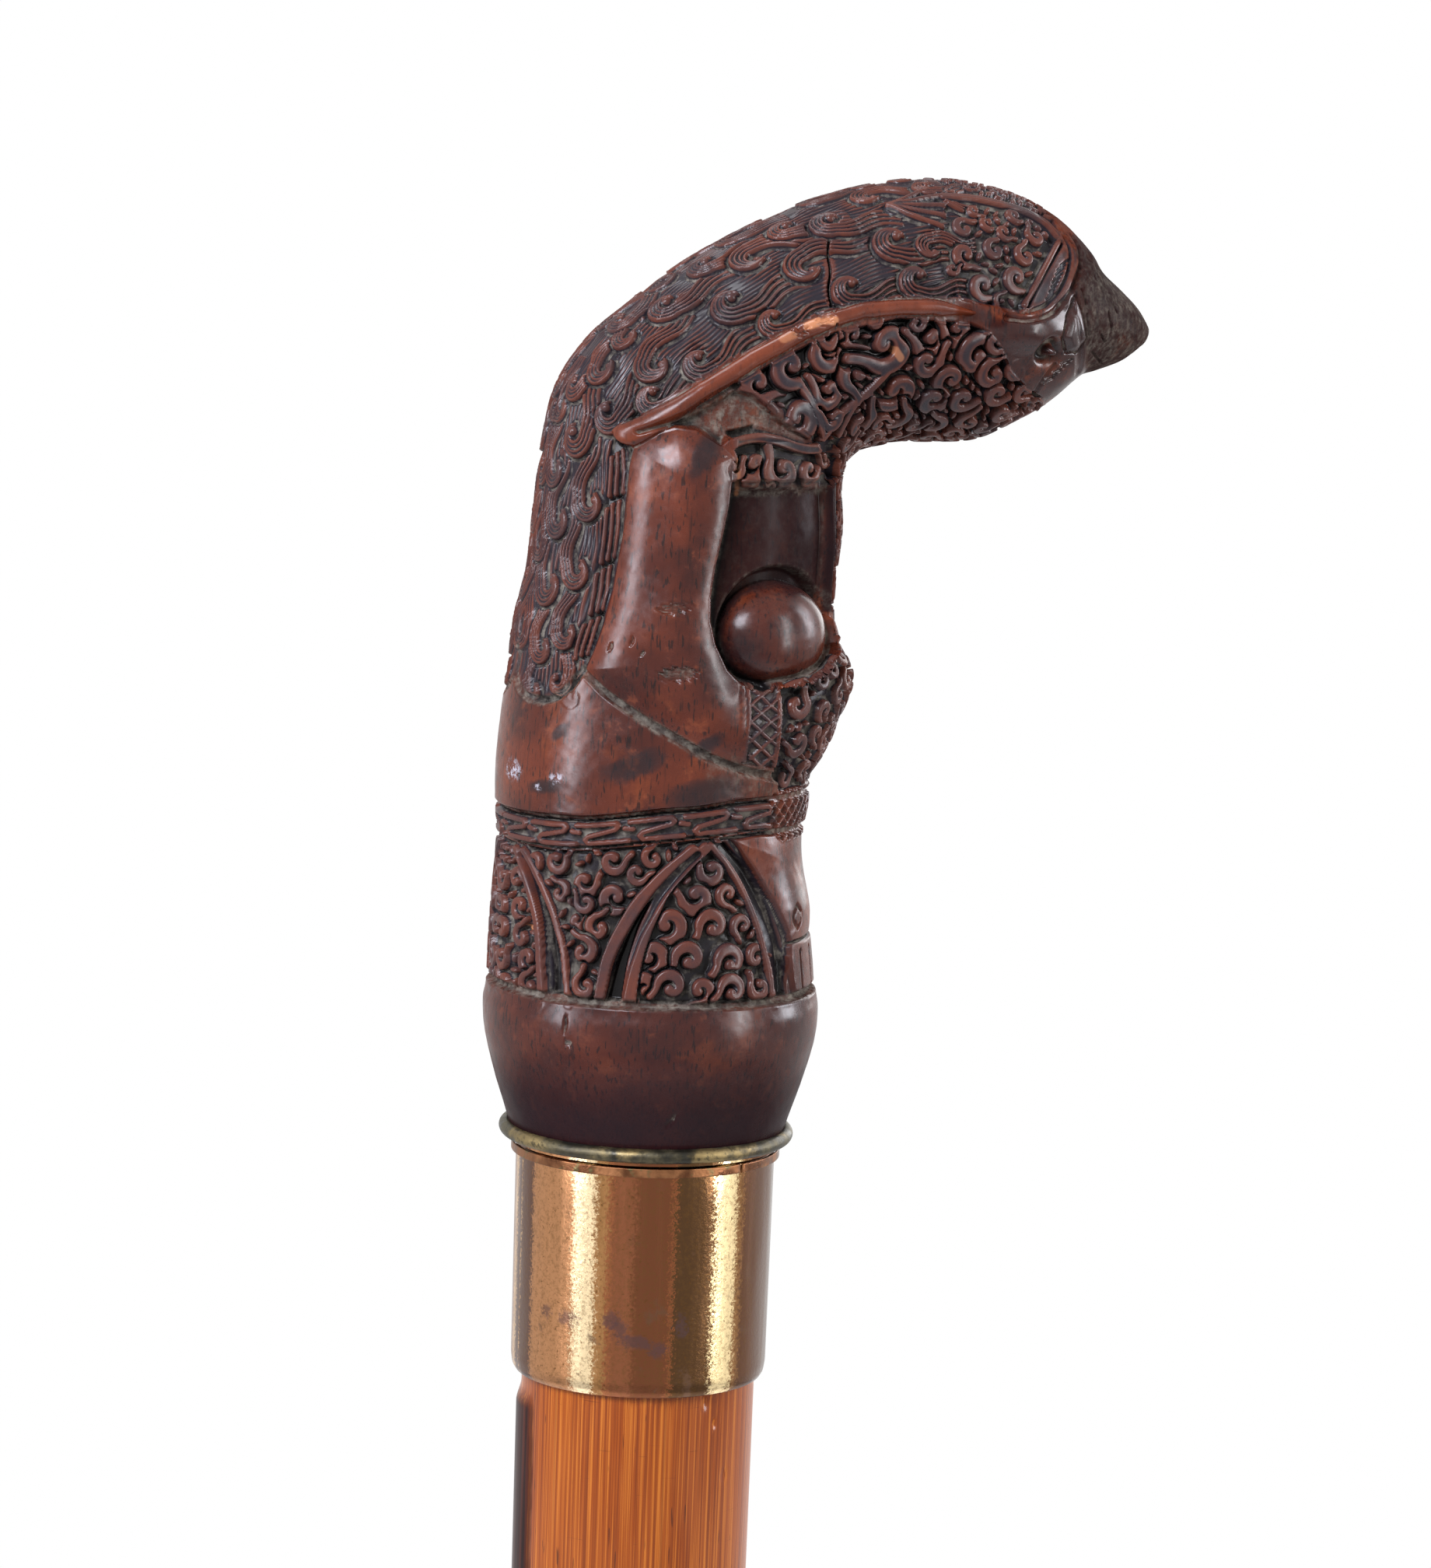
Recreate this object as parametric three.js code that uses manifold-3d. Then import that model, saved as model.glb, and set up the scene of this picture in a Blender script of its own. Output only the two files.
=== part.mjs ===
// A walking stick: a carved hardwood handle on a solid rattan cane, with a brass collar
// between them and a brass and steel ferrule at the foot.
// The tip's face lies at height zero, the shaft's axis is the Z axis, and the head points
// along +X. All lengths are in millimetres.
import * as THREE from 'three';
import { mergeVertices } from 'three/addons/utils/BufferGeometryUtils.js';
import Module from 'manifold-3d';

const wasm = await Module();
wasm.setup();

// Driving dimensions of the whole stick
const rimHeight = 798; // middle of the collar's rim bead above the tip
const handleHeight = 102.2; // crown of the head above the rim bead
const headReach = 54.8; // end of the beak in front of the axis
const gripDepth = 34.6; // back to front through the figure's body
const gripWidth = 33.2; // flank to flank through the figure's body
const bulbRadius = 17.9; // plain round swelling under the skirt
const bulbHeight = 15.4; // its upper edge above the rim bead
const shaftTopRadius = 12.6;
const shaftFootRadius = 8.7;
const fitGap = 0.3; // between pieces that seat in or on each other

// Collar: a brass tube closed by a seat disc, with a bead and a thin band soldered round its top
const collarLength = 24.8;
const collarWall = 0.8;
const collarTaper = 0.15; // how much wider the tube is at the top
const lipHeight = 1.5; // rounded-in lower edge
const lipInset = 0.45;
const discThickness = 0.6;
const beadDepth = 0.95; // how far the half-round bead stands out
const beadHeight = 2.1;
const bandHeight = 0.95;
const bandThickness = 0.35;
const seamWidth = 0.3; // butt joint of the band
const seamAngle = -1.14; // where round the collar it lies, from +X

// Stud that joins handle and shaft
const studRadius = 3.2;
const studInHandle = 42;
const studInShaft = 46;
const endPlay = 1; // free depth past each end of a stud, pin or spigot

// Natural ridge along the cane
const ridgeAngle = 2.95; // from +X
const ridgeHalfWidth = 4.1;
const ridgeHeight = 0.55;
const ridgeStart = 1.6; // below the collar's lower edge
const ridgeBevel = 2.2;

// Ferrule at the foot
const tipHeight = 6;
const tipChamfer = 0.8;
const sleeveLength = 48;
const sleeveWall = 0.6;
const sleeveLip = 1.1; // rolled upper edge
const spigotRadius = 2.6;
const spigotLength = 24;
const pinRadius = 0.8;
const pinLength = 6;
const pinHeadRadius = 1.3;
const pinHeadHeight = 0.5;
const pinDomeShare = 0.6; // flat top of the head's dome
const pinHeightShare = 0.72; // up the sleeve

// Number of flat faces that stand for a round
const roundFaces = 40;
const smallFaces = 16;

// Sizes that follow from the ones above
const gripHalfDepth = gripDepth / 2;
const gripHalfWidth = gripWidth / 2;
const collarBore = shaftTopRadius + fitGap;
const collarRadius = collarBore + collarWall;
const collarTopRadius = collarRadius + collarTaper;
const bandBore = collarTopRadius + fitGap;
const seatRadius = bandBore + bandThickness;
const beadBore = seatRadius + fitGap;
const discTop = -fitGap;
const discBottom = discTop - discThickness;
const collarTop = discBottom - fitGap;
const collarBottom = collarTop - collarLength;
const handleSeat = discTop + fitGap;
const shaftTop = rimHeight + collarTop;
const sleeveFoot = tipHeight + fitGap;
const shaftFoot = sleeveFoot + sleeveWall;

// Sections of the handle from the seat upwards. Bulb: radius as a share of bulbRadius,
// height as a share of bulbHeight.
const bulbShares = [
  [0.852, 0.16], [0.915, 0.39], [0.983, 0.69], [1, 0.9], [0.985, 1.03],
];

// Body: back and front as shares of half the depth, height as a share of handleHeight,
// width as a share of half the width.
const bodyShares = [
  [-1.017, 0.994, 0.196, 1.036], [-1.006, 0.948, 0.245, 1.012], [-0.988, 0.884, 0.303, 0.976],
  [-1.003, 0.926, 0.352, 0.982], [-1, 0.935, 0.391, 1], [-0.977, 1.03, 0.44, 1.012],
  [-0.948, 1.14, 0.489, 1.018], [-0.913, 1.05, 0.538, 1.012], [-0.844, 1.052, 0.587, 1],
  [-0.821, 1.081, 0.636, 0.994], [-0.798, 1.064, 0.677, 0.982],
];

// Head: places along the way from the back line to the beak, heights as shares of
// handleHeight, width as a share of half the width.
// Each row: top place, top height, underside place, underside height, width.
const headShares = [
  [0.057, 0.729, 0.498, 0.695, 0.964], [0.074, 0.78, 0.501, 0.7, 0.946],
  [0.12, 0.828, 0.505, 0.705, 0.928], [0.18, 0.864, 0.512, 0.71, 0.91],
  [0.263, 0.908, 0.522, 0.714, 0.892], [0.365, 0.948, 0.54, 0.718, 0.873],
  [0.446, 0.973, 0.563, 0.721, 0.855], [0.542, 0.992, 0.595, 0.725, 0.837],
  [0.642, 1, 0.645, 0.725, 0.801], [0.745, 0.991, 0.712, 0.728, 0.735],
  [0.82, 0.97, 0.769, 0.745, 0.657], [0.87, 0.943, 0.817, 0.764, 0.572],
  [0.91, 0.912, 0.869, 0.793, 0.47], [0.948, 0.891, 0.914, 0.803, 0.361],
  [0.978, 0.873, 0.955, 0.813, 0.253], [0.997, 0.857, 0.982, 0.825, 0.145],
];
const plainRings = 12; // up the bulb
const carvedRings = 86; // from the bulb to the beak
const handleFaces = 64;
const flankCrowding = 0.36; // how much closer together a ring's points lie on the flanks

// Carved forms on the flanks, which both sides share. A place is a share of half the depth
// forward of the axis and a share of handleHeight above the rim bead.
const armShares = [ // closed outline of the upper arm, the forearm and the hand
  [-0.723, 0.497], [-0.636, 0.547], [-0.561, 0.61], [-0.526, 0.671], [-0.486, 0.72],
  [-0.26, 0.741], [0, 0.73], [0.064, 0.692], [0.017, 0.637], [-0.046, 0.576], [-0.012, 0.529],
  [0.133, 0.485], [0.549, 0.487], [0.983, 0.523], [1.243, 0.53], [1.243, 0.382],
  [0.434, 0.391], [-0.006, 0.412], [-0.405, 0.451],
];
const armRise = 1.2;
const armRounding = 4.6;
const flankShares = [ // flat hollow between the arm and the front
  [0.064, 0.715], [0.052, 0.668], [-0.046, 0.576], [-0.012, 0.529], [0.15, 0.491],
  [0.538, 0.491], [0.78, 0.512], [0.76, 0.56], [0.717, 0.597], [0.671, 0.685], [0.647, 0.716],
];
const flankDepth = 2.5;
const flankTaper = 0.45; // how much of that depth is lost towards the front
const socketShares = [0.45, 0.54]; // deeper hollow round the ball in the crook of the arm
const socketRadius = 6.7;
const socketDepth = 1.2;
const ballShares = [0.455, 0.537];
const ballReach = 6.7;
const ballHalfHeight = 5.2;
const ballRise = 4.3;
const shoulderShares = [ // sunk flat between the shoulder and the hood
  [-0.43, 0.738], [-0.2, 0.757], [0.09, 0.786], [0.2, 0.778], [0.35, 0.758], [0.6, 0.733],
  [0.23, 0.743], [0.02, 0.738], [-0.15, 0.748],
];
const shoulderDepth = 1;
const hoodShares = [ // plain rim of the mantle of hair
  [-0.56, 0.73], [-0.41, 0.747], [-0.25, 0.766], [0.05, 0.798], [0.35, 0.827],
  [0.69, 0.854], [1.14, 0.868], [1.61, 0.866], [1.91, 0.849],
];
const hoodHalfWidth = 1.4;
const hoodRise = 0.9;
const neckShares = [ // field of deep scrolls under the hood
  [-0.02, 0.775], [0.38, 0.808], [0.72, 0.836], [1.14, 0.853], [1.6, 0.85], [1.84, 0.83],
  [1.94, 0.806], [2.3, 0.775], [2.3, 0.7], [0.6, 0.69], [0.6, 0.73], [0.23, 0.745],
];
const neckDepth = 0.8;
const beltShares = [ // upper and lower groove of the belt
  [[-1, 0.343], [-0.5, 0.353], [0.17, 0.366], [1, 0.368]],
  [[-1, 0.311], [-0.3, 0.326], [0.32, 0.334], [1, 0.331]],
];
const beltHalfWidth = 1.1;
const beltDepth = 0.7;
const hemShares = [[-1.1, 0.163], [1.1, 0.163]]; // groove between the bulb and the skirt
const hemHalfWidth = 1.3;
const hemDepth = 1;
const skirtShares = [ // sunk field of scrolls from the hem up to the belt and forward to the leg
  [-1.2, 0.17], [0.6, 0.17], [0.62, 0.19], [0.6, 0.228], [0.485, 0.261], [0.33, 0.295],
  [0.13, 0.324], [-0.3, 0.318], [-1.2, 0.305],
];
const skirtDepth = 0.45;
const channelShares = [ // dark cuts between the panels, and between skirt and leg
  [[-0.08, 0.32], [-0.36, 0.283], [-0.47, 0.24], [-0.54, 0.17]],
  [[0.1, 0.318], [0.3, 0.283], [0.46, 0.245], [0.56, 0.17]],
];
const channelHalfWidth = 1.5;
const channelDepth = 1.5;
const cheekShares = [1.97, 0.845];
const cheekRadius = 4.6;
const cheekRise = 0.7;
const eyeShares = [2.17, 0.826];
const eyeRadius = 1.8;
const eyeRise = 0.8;
const browShares = [ // groove between the face and the beak
  [2.55, 0.92], [2.4, 0.902], [2.36, 0.868], [2.4, 0.84], [2.47, 0.815],
];
const browHalfWidth = 1;
const browDepth = 0.8;
const formEdge = 2; // width over which a carved form's wall slopes

function toSolid(geometry) {
  const bare = geometry.clone();
  bare.deleteAttribute('normal');
  bare.deleteAttribute('uv');
  const merged = mergeVertices(bare);
  return new wasm.Manifold(new wasm.Mesh({
    numProp: 3,
    vertProperties: Float32Array.from(merged.attributes.position.array),
    triVerts: Uint32Array.from(merged.index.array),
  }));
}

function toGeometry(solid) {
  const mesh = solid.getMesh();
  const geometry = new THREE.BufferGeometry();
  geometry.setAttribute('position', new THREE.BufferAttribute(mesh.vertProperties, 3));
  geometry.setIndex(new THREE.BufferAttribute(mesh.triVerts, 1));
  return geometry;
}

// A turned piece: the profile lists [radius, height] and closes on the axis or on itself.
function turned(profile, faces = roundFaces) {
  const points = profile.map(([radius, height]) => new THREE.Vector2(radius, height));
  return new THREE.LatheGeometry(points, faces).rotateX(Math.PI / 2);
}

// A turned ring or tube, whose profile closes on itself.
function turnedRing(profile, faces = roundFaces) {
  return turned([...profile, profile[0]], faces);
}

// A round rod along Z from one height to another.
function rod(radius, from, to, faces = smallFaces) {
  return turned([[0, from], [radius, from], [radius, to], [0, to]], faces);
}

// A closed skin over rings of points that run up the piece, each ring anticlockwise from above.
function skin(rings) {
  const count = rings[0].length;
  const points = rings.flat();
  const triangles = [];
  for (let row = 0; row + 1 < rings.length; row += 1) {
    for (let at = 0; at < count; at += 1) {
      const next = (at + 1) % count;
      const here = row * count;
      const above = here + count;
      triangles.push(here + at, here + next, above + next, here + at, above + next, above + at);
    }
  }
  const middle = (ring) => ring.reduce((sum, point) => sum.add(point), new THREE.Vector3())
    .divideScalar(count);
  const low = points.push(middle(rings[0])) - 1;
  const high = points.push(middle(rings.at(-1))) - 1;
  const last = (rings.length - 1) * count;
  for (let at = 0; at < count; at += 1) {
    const next = (at + 1) % count;
    triangles.push(low, next, at, high, last + at, last + next);
  }
  const geometry = new THREE.BufferGeometry().setFromPoints(points);
  geometry.setIndex(triangles);
  return geometry;
}

function bored(geometry, ...holes) {
  return toGeometry(holes.reduce((solid, hole) => solid.subtract(toSolid(hole)), toSolid(geometry)));
}

// 1 inside a form's outline, 0 outside it, with a soft wall between them.
function inside(distance) {
  return 1 - THREE.MathUtils.smoothstep(distance, -formEdge / 2, formEdge / 2);
}

function sidePlace([forward, up]) {
  return new THREE.Vector2(forward * gripHalfDepth, up * handleHeight);
}

function distanceToPath(place, path) {
  const spot = new THREE.Vector3();
  const target = new THREE.Vector3(place.x, place.y, 0);
  let least = Infinity;
  for (let step = 0; step + 1 < path.length; step += 1) {
    const from = sidePlace(path[step]);
    const to = sidePlace(path[step + 1]);
    const piece = new THREE.Line3(
      new THREE.Vector3(from.x, from.y, 0),
      new THREE.Vector3(to.x, to.y, 0),
    );
    piece.closestPointToPoint(target, true, spot);
    least = Math.min(least, spot.distanceTo(target));
  }
  return least;
}

// Distance outside a closed outline, negative inside it.
function outside(place, outline) {
  const corners = outline.map(sidePlace);
  const crossings = corners.filter((from, at) => {
    const to = corners[(at + 1) % corners.length];
    const level = (place.y < from.y) !== (place.y < to.y);
    return level && place.x < from.x + ((place.y - from.y) * (to.x - from.x)) / (to.y - from.y);
  });
  const gap = distanceToPath(place, [...outline, outline[0]]);
  return crossings.length % 2 ? -gap : gap;
}

// A rounded cut along a path: 1 on the path, 0 at its edges.
function along(place, path, halfWidth) {
  return Math.max(0, 1 - (distanceToPath(place, path) / halfWidth) ** 2);
}

// How far the carved surface lies outside (or inside) the plain body at a place on its flank.
function carving(place) {
  const armDepth = THREE.MathUtils.clamp(-outside(place, armShares) / armRounding, 0, 1);
  const arm = (1 - (1 - armDepth) ** 2) * armRise;
  const taper = 1 - flankTaper * THREE.MathUtils.smoothstep(place.x, 0, gripHalfDepth);
  const flank = inside(outside(place, flankShares)) * flankDepth * taper;
  const socket = inside(place.distanceTo(sidePlace(socketShares)) - socketRadius) * socketDepth;
  const ballPlace = sidePlace(ballShares);
  const ballOff = Math.hypot(
    (place.x - ballPlace.x) / ballReach,
    (place.y - ballPlace.y) / ballHalfHeight,
  );
  const ball = Math.sqrt(Math.max(0, 1 - ballOff ** 2)) * ballRise;
  const cheek = Math.max(0, 1 - (place.distanceTo(sidePlace(cheekShares)) / cheekRadius) ** 2);
  const eye = Math.max(0, 1 - (place.distanceTo(sidePlace(eyeShares)) / eyeRadius) ** 2);
  const belts = beltShares.map((path) => along(place, path, beltHalfWidth) * beltDepth);
  const channels = channelShares.map((path) => along(place, path, channelHalfWidth) * channelDepth);
  const skirt = inside(outside(place, skirtShares)) * skirtDepth;
  return arm + ball + cheek * cheekRise + eye * eyeRise
    + along(place, hoodShares, hoodHalfWidth) * hoodRise
    - flank - socket - Math.max(...belts) - Math.max(skirt, ...channels)
    - inside(outside(place, shoulderShares)) * shoulderDepth
    - inside(outside(place, neckShares)) * neckDepth
    - along(place, hemShares, hemHalfWidth) * hemDepth
    - along(place, browShares, browHalfWidth) * browDepth;
}

// Back line, front line and half width of the handle, each as a list of points.
function handleSections() {
  const sections = [{ back: [-seatRadius, handleSeat], front: [seatRadius, handleSeat], wide: seatRadius }];
  sections.push({
    back: [-seatRadius, beadHeight / 2], front: [seatRadius, beadHeight / 2], wide: seatRadius,
  });
  for (const [radiusShare, heightShare] of bulbShares) {
    const radius = radiusShare * bulbRadius;
    const height = heightShare * bulbHeight;
    sections.push({ back: [-radius, height], front: [radius, height], wide: radius });
  }
  for (const [back, front, up, wide] of bodyShares) {
    const height = up * handleHeight;
    sections.push({
      back: [back * gripHalfDepth, height],
      front: [front * gripHalfDepth, height],
      wide: wide * gripHalfWidth,
    });
  }
  const place = (along) => along * (headReach + gripHalfDepth) - gripHalfDepth;
  for (const [top, topUp, under, underUp, wide] of headShares) {
    sections.push({
      back: [place(top), topUp * handleHeight],
      front: [place(under), underUp * handleHeight],
      wide: wide * gripHalfWidth,
    });
  }
  return sections;
}

// One ring of the handle, across its back line and front line, with the carving on its flanks.
function handleRing(back, front, wide) {
  const centre = back.clone().add(front).divideScalar(2);
  const half = front.clone().sub(back).divideScalar(2);
  const deep = half.length();
  const ring = [];
  for (let at = 0; at < handleFaces; at += 1) {
    const even = (2 * Math.PI * at) / handleFaces;
    const turn = even + (flankCrowding * Math.sin(2 * even)) / 2;
    const forward = Math.cos(turn);
    const sideways = Math.sin(turn);
    const plain = centre.clone().addScaledVector(half, forward);
    const lift = carving(new THREE.Vector2(plain.x, plain.z));
    const outward = half.clone().multiplyScalar((forward * wide) / deep);
    outward.y = sideways * deep;
    outward.normalize();
    plain.y = sideways * wide;
    ring.push(plain.addScaledVector(outward, Math.abs(sideways) * lift));
  }
  return ring;
}

function makeHandle() {
  const sections = handleSections();
  const curve = (pick) => new THREE.CatmullRomCurve3(sections.map(pick), false, 'catmullrom');
  const backLine = curve(({ back }) => new THREE.Vector3(back[0], 0, back[1]));
  const frontLine = curve(({ front }) => new THREE.Vector3(front[0], 0, front[1]));
  const widths = curve(({ wide }, row) => new THREE.Vector3(wide, row, 0));
  const bulbEnd = (bulbShares.length + 1) / (sections.length - 1);
  const stops = [];
  for (let row = 0; row < plainRings; row += 1) {
    stops.push((bulbEnd * row) / plainRings);
  }
  for (let row = 0; row <= carvedRings; row += 1) {
    stops.push(bulbEnd + ((1 - bulbEnd) * row) / carvedRings);
  }
  const rings = stops.map(
    (at) => handleRing(backLine.getPoint(at), frontLine.getPoint(at), widths.getPoint(at).x),
  );
  const hole = rod(studRadius + fitGap, handleSeat - endPlay, handleSeat + studInHandle + endPlay);
  return bored(skin(rings), hole);
}

function makeStud() {
  return rod(studRadius, collarTop - studInShaft, handleSeat + studInHandle);
}

function makeSeatDisc() {
  const hole = studRadius + fitGap;
  return turnedRing([
    [hole, discBottom], [seatRadius, discBottom], [seatRadius, discTop], [hole, discTop],
  ]);
}

// A half-round bead, flat where it lies against the disc's edge.
function makeBead() {
  const steps = 8;
  const profile = [];
  for (let step = 0; step <= steps; step += 1) {
    const turn = Math.PI * (step / steps - 0.5);
    profile.push([beadBore + beadDepth * Math.cos(turn), (beadHeight / 2) * Math.sin(turn)]);
  }
  return turnedRing(profile);
}

// A thin strip bent round the collar, with an open butt joint.
function makeBand() {
  const outer = bandBore + bandThickness;
  const half = seamWidth / outer / 2;
  const shape = new THREE.Shape();
  shape.absarc(0, 0, outer, seamAngle + half, seamAngle + 2 * Math.PI - half, false);
  shape.absarc(0, 0, bandBore, seamAngle + 2 * Math.PI - half, seamAngle + half, true);
  const options = { depth: bandHeight, bevelEnabled: false, curveSegments: roundFaces };
  return new THREE.ExtrudeGeometry(shape, options);
}

function makeCollarTube() {
  return turnedRing([
    [collarBore, collarBottom], [collarRadius - lipInset, collarBottom],
    [collarRadius - lipInset / 3, collarBottom + lipHeight / 3],
    [collarRadius, collarBottom + lipHeight],
    [collarTopRadius, collarTop], [collarBore, collarTop],
  ]);
}

function shaftRadiusAt(height) {
  const share = (height - shaftFoot) / (shaftTop - shaftFoot);
  return THREE.MathUtils.lerp(shaftFootRadius, shaftTopRadius, share);
}

// The cane tapers to its foot, and its ridge is trimmed away where collar and ferrule fit over it.
function makeShaft() {
  const ridgeTop = rimHeight + collarBottom - ridgeStart;
  const ridgeFoot = sleeveFoot + sleeveLength + ridgeStart;
  const stops = [
    [shaftFoot, 0], [ridgeFoot, 0], [ridgeFoot + ridgeBevel, 1],
    [ridgeTop - ridgeBevel, 1], [ridgeTop, 0], [shaftTop, 0],
  ];
  const rings = stops.map(([height, proud]) => shaftRing(height, proud));
  const studHole = rod(
    studRadius + fitGap,
    shaftTop - studInShaft - endPlay,
    shaftTop + endPlay,
  );
  const spigotHole = rod(
    spigotRadius + fitGap,
    shaftFoot - endPlay,
    shaftFoot + spigotLength + endPlay,
  );
  return bored(skin(rings), studHole, spigotHole, pinHole(0), pinHole(Math.PI));
}

function shaftRing(height, proud) {
  const radius = shaftRadiusAt(height);
  const ring = [];
  for (let at = 0; at < roundFaces; at += 1) {
    const turn = ridgeAngle + (2 * Math.PI * at) / roundFaces;
    const away = Math.abs(Math.atan2(Math.sin(turn - ridgeAngle), Math.cos(turn - ridgeAngle)));
    const bump = Math.sqrt(Math.max(0, 1 - ((away * radius) / ridgeHalfWidth) ** 2));
    const out = radius + proud * ridgeHeight * bump;
    ring.push(new THREE.Vector3(out * Math.cos(turn), out * Math.sin(turn), height));
  }
  return ring;
}

const pinHeight = sleeveFoot + pinHeightShare * sleeveLength;

function sleeveRadius(height) {
  return shaftRadiusAt(height) + fitGap + sleeveWall;
}

// A hole for a pin that goes in sideways through sleeve and shaft.
function pinHole(turn) {
  const outer = sleeveRadius(pinHeight);
  const hole = rod(pinRadius + fitGap, outer - pinLength - endPlay, outer + endPlay);
  return hole.rotateY(Math.PI / 2).rotateZ(turn).translate(0, 0, pinHeight);
}

function makePin() {
  const outer = sleeveRadius(pinHeight) + fitGap;
  return turned([
    [0, outer - pinLength], [pinRadius, outer - pinLength], [pinRadius, outer],
    [pinHeadRadius, outer], [pinDomeShare * pinHeadRadius, outer + pinHeadHeight], [0, outer + pinHeadHeight],
  ], smallFaces).rotateY(Math.PI / 2);
}

function makeFerruleSleeve() {
  const top = sleeveFoot + sleeveLength;
  const foot = sleeveFoot;
  const tube = turnedRing([
    [shaftRadiusAt(foot) + fitGap, foot], [sleeveRadius(foot), foot],
    [sleeveRadius(top - sleeveLip), top - sleeveLip],
    [sleeveRadius(top) + sleeveWall / 2, top - sleeveLip / 2],
    [sleeveRadius(top), top], [shaftRadiusAt(top) + fitGap, top],
  ]);
  return bored(tube, pinHole(0), pinHole(Math.PI));
}

function makeFerruleTip() {
  const radius = sleeveRadius(sleeveFoot);
  return turned([
    [0, 0], [radius - tipChamfer, 0], [radius, tipChamfer], [radius, tipHeight],
    [spigotRadius, tipHeight], [spigotRadius, shaftFoot + spigotLength],
    [0, shaftFoot + spigotLength],
  ]);
}

const carvedWood = new THREE.MeshStandardMaterial({ color: 0x4a2418, roughness: 0.38, metalness: 0 });
const caneSkin = new THREE.MeshStandardMaterial({ color: 0xb9692f, roughness: 0.3, metalness: 0 });
const yellowBrass = new THREE.MeshStandardMaterial({ color: 0xb98b4a, roughness: 0.24, metalness: 1 });
const darkBrass = new THREE.MeshStandardMaterial({ color: 0x7d6c46, roughness: 0.45, metalness: 1 });
const bandBrass = new THREE.MeshStandardMaterial({ color: 0x9c6748, roughness: 0.4, metalness: 1 });
const steel = new THREE.MeshStandardMaterial({ color: 0x8c8a86, roughness: 0.35, metalness: 1 });

function piece(name, geometry, material, height = 0) {
  const mesh = new THREE.Mesh(geometry, material);
  mesh.name = name;
  mesh.position.z = height;
  return mesh;
}

const collar = new THREE.Group();
collar.position.z = rimHeight;
collar.add(
  piece('collar_tube', makeCollarTube(), yellowBrass),
  piece('collar_seat_disc', makeSeatDisc(), yellowBrass),
  piece('collar_bead', makeBead(), darkBrass),
  piece('collar_band', makeBand(), bandBrass, collarTop - bandHeight),
);

const top = new THREE.Group();
top.position.z = rimHeight;
top.add(
  piece('handle', makeHandle(), carvedWood),
  piece('handle_stud', makeStud(), steel),
);

const foot = new THREE.Group();
foot.add(
  piece('ferrule_sleeve', makeFerruleSleeve(), yellowBrass),
  piece('ferrule_tip', makeFerruleTip(), steel),
);
for (const [side, turn] of [['front', 0], ['back', Math.PI]]) {
  const pin = piece(`ferrule_pin_${side}`, makePin(), yellowBrass, pinHeight);
  pin.rotation.z = turn;
  foot.add(pin);
}

const stick = new THREE.Group();
stick.add(piece('shaft', makeShaft(), caneSkin), collar, top, foot);

export default stick;
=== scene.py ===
import math
import bpy
import numpy as np
from mathutils import Matrix, Vector


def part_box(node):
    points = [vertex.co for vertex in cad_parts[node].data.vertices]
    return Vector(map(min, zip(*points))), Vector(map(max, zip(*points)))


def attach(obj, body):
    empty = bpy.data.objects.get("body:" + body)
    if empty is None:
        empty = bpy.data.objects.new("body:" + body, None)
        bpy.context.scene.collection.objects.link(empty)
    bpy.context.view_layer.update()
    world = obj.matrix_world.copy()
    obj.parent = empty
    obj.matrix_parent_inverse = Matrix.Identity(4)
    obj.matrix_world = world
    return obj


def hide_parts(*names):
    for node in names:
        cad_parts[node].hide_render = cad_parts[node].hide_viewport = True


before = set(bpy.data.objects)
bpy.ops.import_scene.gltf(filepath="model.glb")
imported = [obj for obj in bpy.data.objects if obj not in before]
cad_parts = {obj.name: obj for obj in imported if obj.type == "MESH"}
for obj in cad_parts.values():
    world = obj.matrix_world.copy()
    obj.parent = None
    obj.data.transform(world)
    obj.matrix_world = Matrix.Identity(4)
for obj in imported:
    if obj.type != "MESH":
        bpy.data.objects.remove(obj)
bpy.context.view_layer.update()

# The room: a pale disc of floor under the tip and plain white all round. Six soft boxes stand
# round the handle: left, right and above the camera, at the right side, overhead and behind.
# The camera keeps the photograph's place: level with the handle and a little behind it.
millimetre = 0.001
photo_size = (1840, 2016)
photo_focal = 6060.6  # in the photograph's pixels
view_azimuth = math.radians(-21)
view_pitch = math.radians(7.4)
view_roll = math.radians(2.1)
rim_pixel = (830.5, 1453)  # where the photograph shows the middle of the collar's rim
rim_distance = 0.50485
sensor_height = 36
floor_radius = 1.6
floor_gap = 0.2 * millimetre
floor_colour = (0.82, 0.82, 0.82, 1)
room_fill = 0.33

bead_low, bead_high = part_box("collar_bead")
rim = Vector((0, 0, (bead_low.z + bead_high.z) / 2))


def colour(red, green, blue):
    """A screen colour, 0 to 255, as Blender's linear colour."""
    parts = [part / 255 for part in (red, green, blue)]
    bent = [part / 12.92 if part <= 0.04045 else ((part + 0.055) / 1.055) ** 2.4 for part in parts]
    return (*bent, 1)


view_forward = Vector((
    -math.sin(view_azimuth) * math.cos(view_pitch),
    math.cos(view_azimuth) * math.cos(view_pitch),
    -math.sin(view_pitch),
))
level_right = Vector((math.cos(view_azimuth), math.sin(view_azimuth), 0))
level_up = level_right.cross(view_forward)
view_right = level_right * math.cos(view_roll) + level_up * math.sin(view_roll)
view_up = level_up * math.cos(view_roll) - level_right * math.sin(view_roll)
rim_across = (rim_pixel[0] - photo_size[0] / 2) / photo_focal
rim_down = (rim_pixel[1] - photo_size[1] / 2) / photo_focal
rim_ray = view_forward + view_right * rim_across - view_up * rim_down
camera_place = rim - rim_ray * rim_distance

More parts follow.
